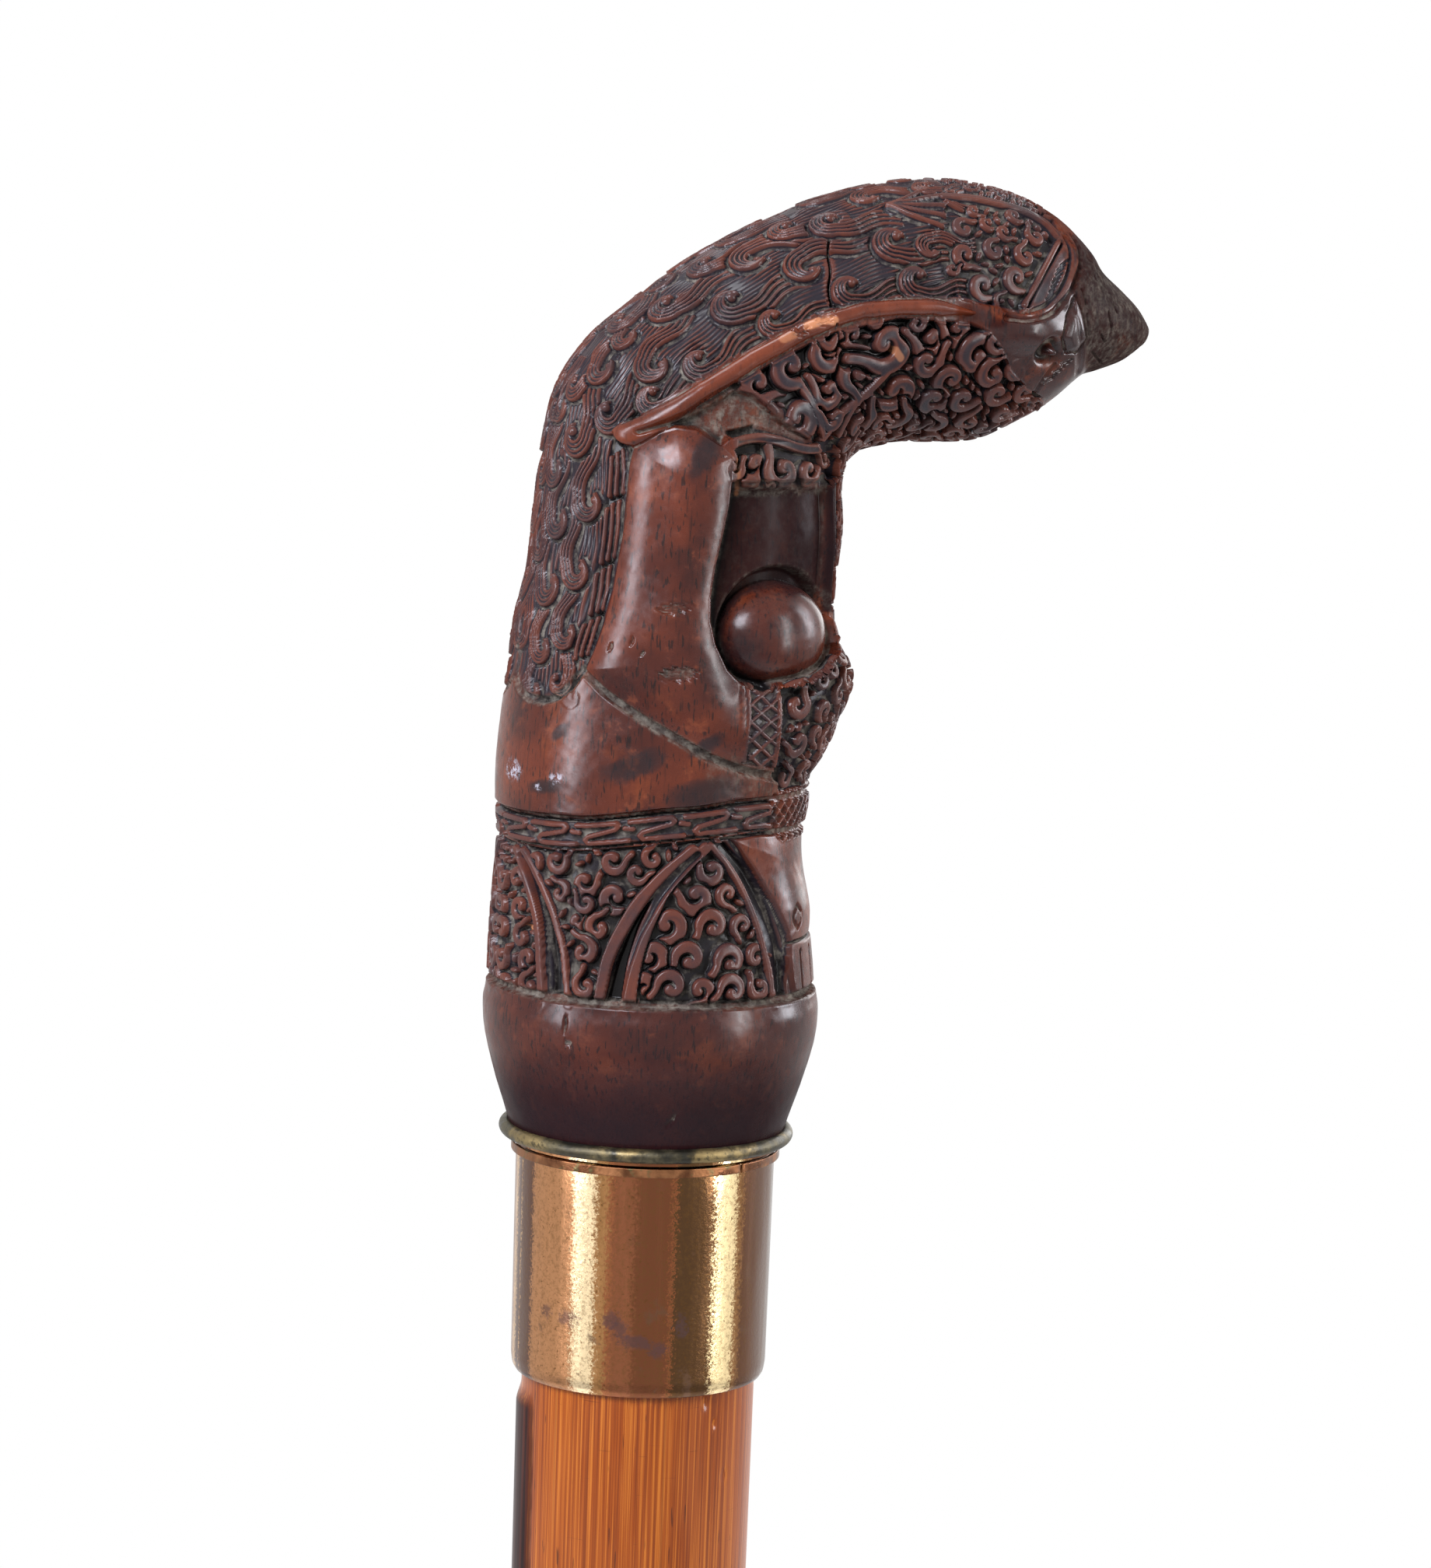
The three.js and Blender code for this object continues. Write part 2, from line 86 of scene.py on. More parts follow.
camera_data = bpy.data.cameras.new("camera")
camera_data.sensor_fit = "VERTICAL"
camera_data.sensor_height = sensor_height
camera_data.lens = photo_focal / photo_size[1] * sensor_height
camera_data.clip_start = 0.01
camera = bpy.data.objects.new("camera", camera_data)
camera_turn = Matrix((view_right, view_up, -view_forward)).transposed()
camera.matrix_world = Matrix.Translation(camera_place) @ camera_turn.to_4x4()
bpy.context.scene.collection.objects.link(camera)
bpy.context.scene.camera = camera
bpy.context.scene.view_settings.view_transform = "Standard"


lamp_aim = rim + Vector((0, 0, 30 * millimetre))


def soft_box(name, direction, distance, height, size, power, tint):
    """A rectangular lamp that faces the handle, so far off and so much above it."""
    lamp = bpy.data.lights.new(name, "AREA")
    lamp.shape = "RECTANGLE"
    lamp.size, lamp.size_y = size
    lamp.energy = power
    lamp.color = tint
    box = bpy.data.objects.new(name, lamp)
    place = lamp_aim + Vector((*direction, 0)) * distance + Vector((0, 0, height))
    turn = (place - lamp_aim).to_track_quat("Z", "Y").to_matrix()
    box.matrix_world = Matrix.Translation(place) @ turn.to_4x4()
    bpy.context.scene.collection.objects.link(box)


soft_box("box_left", (-0.99, -0.14), 1.0, 0.22, (0.2, 0.75), 11, (0.9, 0.91, 1))
soft_box("box_right", (0.7, -0.714), 1.0, 0.16, (0.16, 0.75), 8, (0.98, 0.98, 1))
soft_box("box_shoulder", (-0.75, -0.66), 0.85, 0.57, (0.42, 0.42), 20, (0.86, 0.89, 1))
soft_box("box_side", (0.97, -0.05), 1.0, 0.26, (0.3, 0.62), 10, (0.92, 0.93, 1))
soft_box("box_top", (-0.45, 0.9), 0.35, 0.95, (0.5, 0.4), 5.5, (0.94, 0.96, 1))
soft_box("box_back", (0.75, 0.66), 1.2, 0.3, (0.5, 0.8), 5, (1, 1, 1))

# The room is white to the camera, in polished metal and through glass, and dim as a light.
world = bpy.data.worlds.new("room")
bpy.context.scene.world = world
world.use_nodes = True
backdrop = world.node_tree.nodes["Background"]
seen = world.node_tree.nodes.new("ShaderNodeLightPath")
seen_or_mirrored = world.node_tree.nodes.new("ShaderNodeMath")
seen_or_mirrored.operation = "MAXIMUM"
any_white = world.node_tree.nodes.new("ShaderNodeMath")
any_white.operation = "MAXIMUM"
room_level = world.node_tree.nodes.new("ShaderNodeMapRange")
room_level.inputs["To Min"].default_value = room_fill
room_level.inputs["To Max"].default_value = 1
link = world.node_tree.links.new
link(seen.outputs["Is Camera Ray"], seen_or_mirrored.inputs[0])
link(seen.outputs["Is Glossy Ray"], seen_or_mirrored.inputs[1])
link(seen_or_mirrored.outputs[0], any_white.inputs[0])
link(seen.outputs["Is Transmission Ray"], any_white.inputs[1])
link(any_white.outputs[0], room_level.inputs["Value"])
link(room_level.outputs["Result"], backdrop.inputs["Strength"])
backdrop.inputs["Color"].default_value = (1, 1, 1, 1)


class Finish:
    """A procedural finish: one principled shader and the nodes that feed it."""

    def __init__(self, name, **sockets):
        self.material = bpy.data.materials.new(name)
        self.material.use_nodes = True
        self.tree = self.material.node_tree
        self.shader = self.tree.nodes["Principled BSDF"]
        self.set(**sockets)
        self.place = self.node("TexCoord")["Object"]

    def set(self, **sockets):
        for name, value in sockets.items():
            self.feed(self.shader.inputs[name.replace("_", " ")], value)

    def feed(self, socket, value):
        if isinstance(value, bpy.types.NodeSocket):
            self.tree.links.new(value, socket)
        else:
            socket.default_value = value

    def node(self, kind, inputs=(), **settings):
        made = self.tree.nodes.new("ShaderNode" + kind)
        for name, value in settings.items():
            setattr(made, name, value)
        for name, value in dict(inputs).items():
            self.feed(made.inputs[name], value)
        return made.outputs

    def maths(self, operation, first, second=0.0, clamp=False):
        inputs = {0: first, 1: second}
        return self.node("Math", inputs, operation=operation, use_clamp=clamp)["Value"]

    def clouds(self, scale, stretch=(1, 1, 1), detail=4, rough=0.55, distort=0.0):
        """Soft blotches, 0 to 1, of about one over scale metres, drawn out by stretch."""
        where = self.node("Mapping", {"Vector": self.place, "Scale": stretch})["Vector"]
        inputs = {"Vector": where, "Scale": scale, "Detail": detail, "Roughness": rough,
                  "Distortion": distort}
        return self.node("TexNoise", inputs)["Fac"]

    def between(self, value, low, high, start=0.0, end=1.0):
        """value eased from start to end while it goes from low to high."""
        inputs = {"Value": value, "From Min": low, "From Max": high, "To Min": start, "To Max": end}
        return self.node("MapRange", inputs, interpolation_type="SMOOTHSTEP")["Result"]

    def blend(self, amount, first, second):
        made = self.tree.nodes.new("ShaderNodeMix")
        made.data_type = "RGBA"
        self.feed(made.inputs["Factor"], amount)
        self.feed(made.inputs[6], first)
        self.feed(made.inputs[7], second)
        return made.outputs[2]

    def carried(self, name):
        """A value that the mesh carries at its points."""
        return self.node("Attribute", attribute_name=name)["Fac"]

    def bump(self, height, depth, under=None):
        inputs = {"Height": height, "Distance": depth, "Strength": 1.0}
        if under is not None:
            inputs["Normal"] = under
        return self.node("Bump", inputs)["Normal"]


# The floor pales to the room's white towards its edge, for the camera alone.
floor_finish = Finish("floor_finish", Base_Color=floor_colour, Roughness=0.9)
floor_distance = floor_finish.node("VectorMath", {0: floor_finish.place}, operation="LENGTH")["Value"]
floor_light = floor_finish.node("LightPath")["Is Camera Ray"]
floor_far = floor_finish.between(floor_distance, 0.25, 0.95 * floor_radius, 0.35, 1.0)
floor_glow = floor_finish.node("Emission", {"Color": (1, 1, 1, 1), "Strength": 1.0})["Emission"]
floor_share = floor_finish.maths("MULTIPLY", floor_light, floor_far)
floor_finish.node("MixShader", {0: floor_share, 2: floor_glow})
floor_mixer = floor_finish.tree.nodes[-1]
floor_finish.tree.links.new(floor_finish.shader.outputs[0], floor_mixer.inputs[1])
floor_finish.tree.links.new(floor_mixer.outputs[0], floor_finish.tree.nodes["Material Output"].inputs[0])
bpy.ops.mesh.primitive_circle_add(
    vertices=96, radius=floor_radius, fill_type="NGON", location=(0, 0, -floor_gap),
)
floor = bpy.context.object
floor.name = "floor"
floor.data.materials.append(floor_finish.material)


# Ferrule: a short steel tip on a spigot, and a brass sleeve pressed over the cane's foot and
# held by two small pins. Both are turned, and worn bright where they meet the ground.
ring_faces = 160
edge_radius = 0.35 * millimetre


def ease(value, low, high):
    """0 below low, 1 above high, and smooth between them."""
    share = np.clip((value - low) / (high - low), 0, 1)
    return share * share * (3 - 2 * share)


def rounded(corners, radius, steps=5):
    """An outline of [radius, height] corners with each corner off the axis cut round."""
    points = []
    corners = [Vector(corner) for corner in corners]
    for here, corner in enumerate(corners):
        back = corners[here - 1] - corner
        on = corners[(here + 1) % len(corners)] - corner
        if corner.x < 1e-6:
            points.append(corner)
            continue
        cut = min(radius, back.length / 2.5, on.length / 2.5)
        start = corner + back.normalized() * cut
        end = corner + on.normalized() * cut
        points.append(start.lerp(corner + back / 2, 0.3))
        for step in range(steps + 1):
            share = step / steps
            points.append(start.lerp(corner, share).lerp(corner.lerp(end, share), share))
        points.append(end.lerp(corner + on / 2, 0.3))
    return points


def grid_mesh(name, points, poles=(None, None), closed=False):
    """A skin over rings of points. closed joins the last ring to the first, and poles cap the ends."""
    rows, columns = points.shape[:2]
    extra = [pole for pole in poles if pole is not None]
    every = np.concatenate([points.reshape(-1, 3), np.array(extra).reshape(-1, 3)])
    across = np.arange(columns)
    side = (across + 1) % columns
    low = np.arange(rows if closed else rows - 1)
    high = (low + 1) % rows
    corners = [low[:, None] * columns + across, low[:, None] * columns + side,
               high[:, None] * columns + side, high[:, None] * columns + across]
    quads = np.stack(corners, -1).reshape(-1, 4)
    left = across / columns
    right = left + 1 / columns
    quad_uv = np.zeros((len(low), columns, 4, 2))
    quad_uv[..., 0] = np.stack([left, right, right, left], 1)
    quad_uv[..., 1] = (np.stack([low, low, low + 1, low + 1], 1) / rows)[:, None]
    zero = np.zeros(columns)
    fans = []
    fan_uv = []
    if poles[0] is not None:
        fans.append(np.stack([np.full(columns, rows * columns), side, across], 1))
        fan_uv.append(np.stack([left, zero, right, zero, left, zero], 1))
    if poles[1] is not None:
        last = (rows - 1) * columns
        fans.append(np.stack([np.full(columns, len(every) - 1), last + across, last + side], 1))
        fan_uv.append(np.stack([left, zero + 1, left, zero + 1, right, zero + 1], 1))
    loops = np.concatenate([quads.ravel()] + [fan.ravel() for fan in fans]).astype(np.int32)
    uvs = np.concatenate([quad_uv.reshape(-1, 2)] + [uv.reshape(-1, 2) for uv in fan_uv])
    triangles = sum(len(fan) for fan in fans)
    starts = np.concatenate([np.arange(len(quads)) * 4, quads.size + np.arange(triangles) * 3])
    mesh = bpy.data.meshes.new(name)
    mesh.vertices.add(len(every))
    mesh.vertices.foreach_set("co", every.astype(np.float32).ravel())
    mesh.loops.add(len(loops))
    mesh.loops.foreach_set("vertex_index", loops)
    mesh.polygons.add(len(starts))
    mesh.polygons.foreach_set("loop_start", starts.astype(np.int32))
    mesh.uv_layers.new(name="OFBake").data.foreach_set("uv", uvs.astype(np.float32).ravel())
    mesh.update(calc_edges=True)
    return mesh


def add_piece(name, mesh, node, finish):
    """Puts a piece in place of the node that it stands for."""
    mesh.polygons.foreach_set("use_smooth", np.ones(len(mesh.polygons), bool))
    piece = bpy.data.objects.new(name, mesh)
    bpy.context.scene.collection.objects.link(piece)
    piece.data.materials.append(finish.material)
    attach(piece, "root")
    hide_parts(node)
    return piece


def turned_points(outline, faces=ring_faces, wobble=0.0):
    """Rings of points round the axis, one for each [radius, height] of the outline."""
    angle = np.linspace(0, 2 * np.pi, faces, endpoint=False)
    reach = np.array([point[0] for point in outline])[:, None]
    height = np.array([point[1] for point in outline])[:, None]
    uneven = 1 + wobble * (np.sin(3 * angle + 0.4) + 0.6 * np.sin(7 * angle + 2))[None]
    across = reach * uneven * np.cos(angle)[None]
    deep = reach * uneven * np.sin(angle)[None]
    return np.stack([across, deep, height + 0 * angle[None]], -1)


def turned_ring(name, outline, wobble=0.0):
    return grid_mesh(name, turned_points(outline, wobble=wobble), closed=True)


def turned_rod(name, outline):
    """A solid rod: its outline runs from the axis, round the outside and back to the axis."""
    points = turned_points(outline[1:-1])
    ends = [(0, 0, outline[0][1]), (0, 0, outline[-1][1])]
    return grid_mesh(name, points, poles=ends)


tip_low, tip_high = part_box("ferrule_tip")
sleeve_low, sleeve_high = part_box("ferrule_sleeve")
shaft_low, shaft_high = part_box("shaft")

brass = Finish("worn_brass", Metallic=1.0)
brass_blotch = brass.clouds(220, detail=6)
brass_pull = brass.clouds(130, stretch=(1, 1, 0.03), detail=3)
brass_streak = brass.clouds(300, stretch=(1, 1, 0.08), detail=3)
brass_tone = brass.blend(brass.between(brass_blotch, 0.35, 0.7), colour(168, 120, 74), colour(188, 142, 92))
brass_tone = brass.blend(brass.between(brass_pull, 0.5, 0.62, 0, 0.85), brass_tone, colour(236, 208, 160))
brass_tone = brass.blend(brass.between(brass_pull, 0.47, 0.36, 0, 0.8), brass_tone, colour(98, 66, 44))
brass_foot = brass.node("SeparateXYZ", {0: brass.place})["Z"]
brass_grime = brass.between(brass_foot, 0.0, 0.03, 0.55, 0.1)
brass_spots = brass.between(brass.clouds(900, detail=2), 0.6, 0.72)
brass_dark = brass.maths("MULTIPLY", brass_spots, brass_grime, clamp=True)
brass.set(
    Base_Color=brass.blend(brass_dark, brass_tone, colour(70, 48, 26)),
    Roughness=brass.between(brass_streak, 0.3, 0.75, 0.2, 0.42),
    Normal=brass.bump(brass_streak, 0.06 * millimetre),
)

steel = Finish("worn_steel", Metallic=1.0)
steel_rings = steel.clouds(700, stretch=(0.15, 0.15, 1), detail=3)
steel_rust = steel.between(steel.clouds(520, detail=6), 0.55, 0.7)
steel.set(
    Base_Color=steel.blend(steel_rust, colour(150, 148, 145), colour(96, 66, 48)),
    Roughness=steel.between(steel_rings, 0.2, 0.8, 0.28, 0.55),
    Normal=steel.bump(steel_rings, 0.05 * millimetre),
)

spigot_radius = 2.6 * millimetre
sleeve_wall = 0.6 * millimetre
sleeve_lip = 1.1 * millimetre
tip_shoulder = sleeve_low.z - 0.3 * millimetre
tip_outline = rounded([
    (0, tip_low.z), (tip_high.x, tip_low.z), (tip_high.x, tip_shoulder), (spigot_radius, tip_shoulder),
    (spigot_radius, tip_high.z), (0, tip_high.z),
], 2 * edge_radius)
add_piece("steel_tip", turned_rod("steel_tip", tip_outline), "ferrule_tip", steel)

shaft_foot_radius = 8.7 * millimetre
shaft_top_radius = 12.6 * millimetre
fit_gap = 0.3 * millimetre


def shaft_radius(height):
    share = (height - shaft_low.z) / (shaft_high.z - shaft_low.z)
    return shaft_foot_radius + (shaft_top_radius - shaft_foot_radius) * share


def sleeve_bore(height):
    return shaft_radius(height) + fit_gap


lip_low = sleeve_high.z - sleeve_lip
sleeve_outline = rounded([
    (sleeve_bore(sleeve_low.z), sleeve_low.z),
    (sleeve_bore(sleeve_low.z) + sleeve_wall, sleeve_low.z),
    (sleeve_bore(lip_low) + sleeve_wall, lip_low),
    (sleeve_bore(sleeve_high.z) + 1.5 * sleeve_wall, sleeve_high.z - sleeve_lip / 2),
    (sleeve_bore(sleeve_high.z) + sleeve_wall, sleeve_high.z),
    (sleeve_bore(sleeve_high.z), sleeve_high.z),
], edge_radius)
sleeve_mesh = turned_ring("brass_ferrule", sleeve_outline, wobble=0.0012)
add_piece("brass_ferrule", sleeve_mesh, "ferrule_sleeve", brass)

pin_radius = 0.8 * millimetre
pin_head_radius = 1.3 * millimetre
pin_head_height = 0.5 * millimetre
pin_head_steps = 6
for side, way in (("front", 1), ("back", -1)):
    pin_low, pin_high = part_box("ferrule_pin_" + side)
    reaches = sorted((way * pin_low.x, way * pin_high.x))
    head = reaches[1] - pin_head_height
    pin_outline = [(0, reaches[0]), (pin_radius, reaches[0]), (pin_radius, head), (pin_head_radius, head)]
    for step in range(1, pin_head_steps):
        rise = math.radians(90 / pin_head_steps * step)
        pin_outline.append((pin_head_radius * math.cos(rise), head + pin_head_height * math.sin(rise)))
    pin_outline.append((0, reaches[1]))
    pin_mesh = turned_rod("pin_" + side, pin_outline)
    lay = Matrix(((0, 0, way), (0, way, 0), (-1, 0, 0))).to_4x4()
    pin_mesh.transform(Matrix.Translation((0, 0, (pin_low.z + pin_high.z) / 2)) @ lay)
    add_piece("pin_" + side, pin_mesh, "ferrule_pin_" + side, brass)


# Shaft: one straight length of rattan cane, rubbed with amber varnish. A natural ridge runs
# down its back, darker than the rest, and is pared away where the collar and ferrule fit on.
cane_faces = 360
ridge_angle = 2.95
ridge_half_width = 4.1 * millimetre
ridge_height = 0.55 * millimetre
ridge_start = 1.6 * millimetre
ridge_bevel = 2.2 * millimetre
stud_bore = 3.5 * millimetre
stud_in_shaft = 47 * millimetre
spigot_bore = 2.9 * millimetre
fine_start = 3 * millimetre  # above the collar's lower edge
fine_reach = 42 * millimetre  # below it, where the cane's dents are modelled
fine_pitch = 0.3 * millimetre
coarse_rings = 260
# Dents: how far below the collar, the angle round the cane, and the size, in millimetres.
cane_dents = [
    (0.90, -1.31, 0.5), (3.6, -1.2, 0.35), (9.5, -1.05, 0.4), (21, -1.72, 0.45), (29, -1.5, 0.35),
]
dent_depth = 0.16 * millimetre
dent_flatness = 0.6  # dents are longer along the cane than round it

collar_low, collar_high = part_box("collar_tube")
ridge_top = collar_low.z - ridge_start
ridge_foot = sleeve_high.z + ridge_start


def carry(mesh, name, values):
    """Stores one value for each point of a mesh, for its finish to read."""
    short = len(mesh.vertices) - len(values)
    whole = np.concatenate([values, np.zeros(short)]).astype(np.float32)
    mesh.attributes.new(name, "FLOAT", "POINT").data.foreach_set("value", whole)


def half_round(gap, reach):
    """The height of a half-round ridge: 1 on its middle line and 0 at reach."""
    return np.sqrt(np.clip(1 - (gap / reach) ** 2, 0, 1))


def cane_mesh():
    fine = np.arange(collar_low.z + fine_start, collar_low.z - fine_reach, -fine_pitch)[::-1]
    coarse = np.linspace(shaft_low.z, fine[0], coarse_rings, endpoint=False)
    top = np.array([fine[-1] + 5 * millimetre, shaft_high.z])
    heights = np.concatenate([coarse, fine, top])
    angle = np.linspace(0, 2 * np.pi, cane_faces, endpoint=False)
    away = np.abs((angle - ridge_angle + np.pi) % (2 * np.pi) - np.pi)[None]
    up = heights[:, None]
    plain = shaft_radius(up)
    # A grown cane is never quite round or even: slow swellings, long flats, a wavering ridge.
    slow = np.sin(2 * angle + 9 * up / 0.8) + 0.7 * np.sin(3 * angle - 14 * up)
    facets = np.sin(11 * angle + 0.9 * np.sin(up * 31)) + 0.7 * np.sin(17 * angle + 1.3)
    proud = ease(up, ridge_foot, ridge_foot + ridge_bevel)
    proud = proud * (1 - ease(up, ridge_top - ridge_bevel, ridge_top))
    ragged = 1 + 0.012 * np.sin(up * 1900) + 0.02 * np.sin(up * 430 + 1) + 0.02 * np.sin(up * 120)
    across = away * plain / (ridge_half_width * ragged)
    bare = ease(up, sleeve_high.z, ridge_foot) * (1 - ease(up, ridge_top, collar_low.z))
    out = plain + bare * (0.05 * slow + 0.018 * facets) * millimetre
    out = out + proud * half_round(across, 1) * ridge_height
    for below, turned, size in cane_dents:
        down = (up - collar_low.z + below * millimetre) * dent_flatness
        aside = (angle[None] - turned % (2 * np.pi)) * plain
        out = out - dent_depth * np.exp(-(np.hypot(down, aside) / (size * millimetre)) ** 2)
    points = np.stack([out * np.cos(angle), out * np.sin(angle), up + 0 * out], -1)
    spigot_length = tip_high.z - tip_shoulder
    ends = turned_points([
        (spigot_bore, shaft_low.z + spigot_length), (spigot_bore, shaft_low.z),
        (stud_bore, shaft_high.z), (stud_bore, shaft_high.z - stud_in_shaft),
    ], cane_faces)
    rings = np.concatenate([ends[:2], points, ends[2:]])
    mesh = grid_mesh("cane", rings, poles=((0, 0, ends[0, 0, 2]), (0, 0, ends[3, 0, 2])))
    strip = (1 - ease(across, 0.9, 1.02)) * proud
    blank = np.zeros((2, cane_faces))
    carry(mesh, "ridge", np.concatenate([blank, strip, blank]).ravel())
    edge = np.exp(-((across - 1.0) / 0.06) ** 2) * proud
    carry(mesh, "ridge_edge", np.concatenate([blank, edge, blank]).ravel())
    return mesh


cane = Finish("varnished_cane", Coat_Roughness=0.12)
cane_fibre = cane.clouds(1500, stretch=(1, 1, 0.012), detail=3, rough=0.6)
cane_lines = cane.clouds(3300, stretch=(1, 1, 0.002), detail=3, rough=0.75)
cane_bands = cane.clouds(260, stretch=(1, 1, 0.02), detail=2)
cane_mottle = cane.clouds(120, stretch=(1, 1, 0.35), detail=5)
cane_ridge = cane.carried("ridge")
cane_tone = cane.blend(cane.between(cane_bands, 0.3, 0.7), colour(112, 48, 8), colour(124, 58, 12))
cane_tone = cane.blend(cane.between(cane_mottle, 0.35, 0.75, 0, 0.35), cane_tone, colour(135, 70, 26))
cane_tone = cane.blend(cane.between(cane_lines, 0.5, 0.62, 0, 0.6), cane_tone, colour(166, 98, 34))
cane_tone = cane.blend(cane.between(cane_lines, 0.5, 0.38, 0, 0.6), cane_tone, colour(82, 32, 8))
cane_tone = cane.blend(cane.between(cane_fibre, 0.6, 0.68, 0, 0.4), cane_tone, colour(84, 37, 14))
cane_flecks = cane.between(cane.clouds(2600, stretch=(1, 1, 0.09), detail=1), 0.71, 0.76, 0, 0.7)
cane_tone = cane.blend(cane_flecks, cane_tone, colour(46, 19, 11))
cane_scratch = cane.clouds(420, stretch=(0.25, 0.25, 6), detail=2, distort=1.5)
cane_tone = cane.blend(cane.between(cane_scratch, 0.7, 0.73, 0, 0.55), cane_tone, colour(55, 25, 12))
ridge_tone = cane.blend(cane.between(cane_fibre, 0.4, 0.62), colour(26, 11, 11), colour(56, 25, 18))
cane_tone = cane.blend(cane_ridge, cane_tone, ridge_tone)
cane_edge = cane.maths("MULTIPLY", cane.carried("ridge_edge"), 0.8)
cane_tone = cane.blend(cane_edge, cane_tone, colour(32, 14, 11))
cane_shine = cane.between(cane_mottle, 0.2, 0.8, 0.3, 0.5)
cane_shine = cane.maths("MULTIPLY", cane_shine, cane.between(cane_ridge, 0, 1, 1, 0.35))
cane.set(
    Base_Color=cane_tone,
    Roughness=cane.between(cane_mottle, 0.3, 0.7, 0.3, 0.42),
    Coat_Weight=cane_shine,
    Specular_IOR_Level=0.05,
    Normal=cane.bump(cane_fibre, 0.04 * millimetre),
)
add_piece("cane", cane_mesh(), "shaft", cane)


# Collar: a length of drawn brass tube pushed over the cane's top and closed by a brass disc.
# It is polished and lacquered, and the lacquer has gone brown in patches; the upright streaks round it,
# bright, dark and pink, are painted reflections.
collar_wall = 0.8 * millimetre
collar_taper = 0.15 * millimetre
collar_lip = 1.5 * millimetre
collar_inset = 0.45 * millimetre
collar_radius = collar_high.x - collar_taper
collar_bore = collar_radius - collar_wall
collar_outline = rounded([
    (collar_bore, collar_low.z), (collar_radius - collar_inset, collar_low.z),
    (collar_radius - collar_inset / 3, collar_low.z + collar_lip / 3),
    (collar_radius, collar_low.z + collar_lip), (collar_high.x, collar_high.z),
    (collar_bore, collar_high.z),
], edge_radius)

gilt = Finish("lacquered_brass", Metallic=1.0)
gilt_parts = gilt.node("SeparateXYZ", {0: gilt.place})
gilt_around = gilt.maths("ARCTAN2", gilt_parts["Y"], gilt_parts["X"])
gilt_wander = gilt.between(gilt.clouds(90, stretch=(1, 1, 0.15), detail=3), 0.3, 0.7, -0.02, 0.02)
gilt_grit = gilt.between(gilt.clouds(3000, detail=4, rough=0.8), 0.3, 0.7, -0.045, 0.045)
gilt_turn = gilt.maths("ADD", gilt_around, gilt.maths("ADD", gilt_wander, gilt_grit))


def painted_reflection_band(middle, half_width, edge):
    """1 in an upright stripe of painted reflection on the collar, round its middle angle."""
    off = gilt.maths("ABSOLUTE", gilt.maths("SUBTRACT", gilt_turn, middle))
    return gilt.between(off, half_width + edge, half_width)


gilt_fine = gilt.clouds(2600, detail=2)
gilt_cloud = gilt.clouds(180, detail=7, rough=0.6)
gilt_pull = gilt.clouds(900, stretch=(1, 1, 0.05), detail=3)
gilt_tone = gilt.blend(gilt.between(gilt_cloud, 0.35, 0.68), colour(190, 142, 92), colour(226, 184, 130))
# Upright bands of painted reflection: the middle angle, half the width, the soft edge and the tint.
for middle, half_width, edge, tint in (
    (-3.03, 0.1, 0.04, colour(98, 70, 58)), (-2.697, 0.215, 0.04, colour(178, 128, 90)),
    (-2.24, 0.07, 0.02, colour(158, 114, 72)), (-2.39, 0.06, 0.06, colour(246, 220, 176)),
    (-1.915, 0.262, 0.02, colour(112, 68, 46)), (-2.07, 0.07, 0.06, colour(136, 84, 58)),
    (-2.165, 0.008, 0.02, colour(150, 92, 60)), (-1.665, 0.008, 0.02, colour(150, 90, 58)),
    (-1.488, 0.16, 0.025, colour(84, 60, 40)), (-1.1, 0.07, 0.03, colour(140, 100, 64)),
    (-1.24, 0.06, 0.06, colour(246, 220, 168)), (-0.85, 0.2, 0.05, colour(100, 68, 50)),
    (-0.5, 0.12, 0.06, colour(108, 84, 70)), (0.25, 0.2, 0.15, colour(160, 112, 76)),
    (1.25, 0.28, 0.2, colour(150, 102, 66)), (2.2, 0.2, 0.2, colour(176, 126, 88)),
    (2.8, 0.12, 0.08, colour(140, 98, 66)), (3.11, 0.05, 0.03, colour(98, 70, 58)),
):
    gilt_tone = gilt.blend(painted_reflection_band(middle, half_width, edge), gilt_tone, tint)
gilt_stains = gilt.between(gilt.clouds(330, detail=5, rough=0.65), 0.58, 0.68, 0, 0.75)
gilt_low = gilt.between(gilt_parts["Z"], collar_high.z, collar_low.z, 0.1, 1.0)
gilt_stains = gilt.maths("MULTIPLY", gilt_stains, gilt_low)
gilt_tone = gilt.blend(gilt_stains, gilt_tone, colour(104, 78, 62))
gilt_grain = gilt.between(gilt.clouds(1900, detail=5, rough=0.85), 0.48, 0.6, 0, 0.42)
gilt_tone = gilt.blend(gilt_grain, gilt_tone, colour(104, 74, 42))
gilt_share = gilt.between(gilt_parts["Z"], collar_low.z, collar_high.z)
gilt_ragged = gilt.between(gilt.clouds(700, detail=4), 0.3, 0.7, -0.35, 0.35)
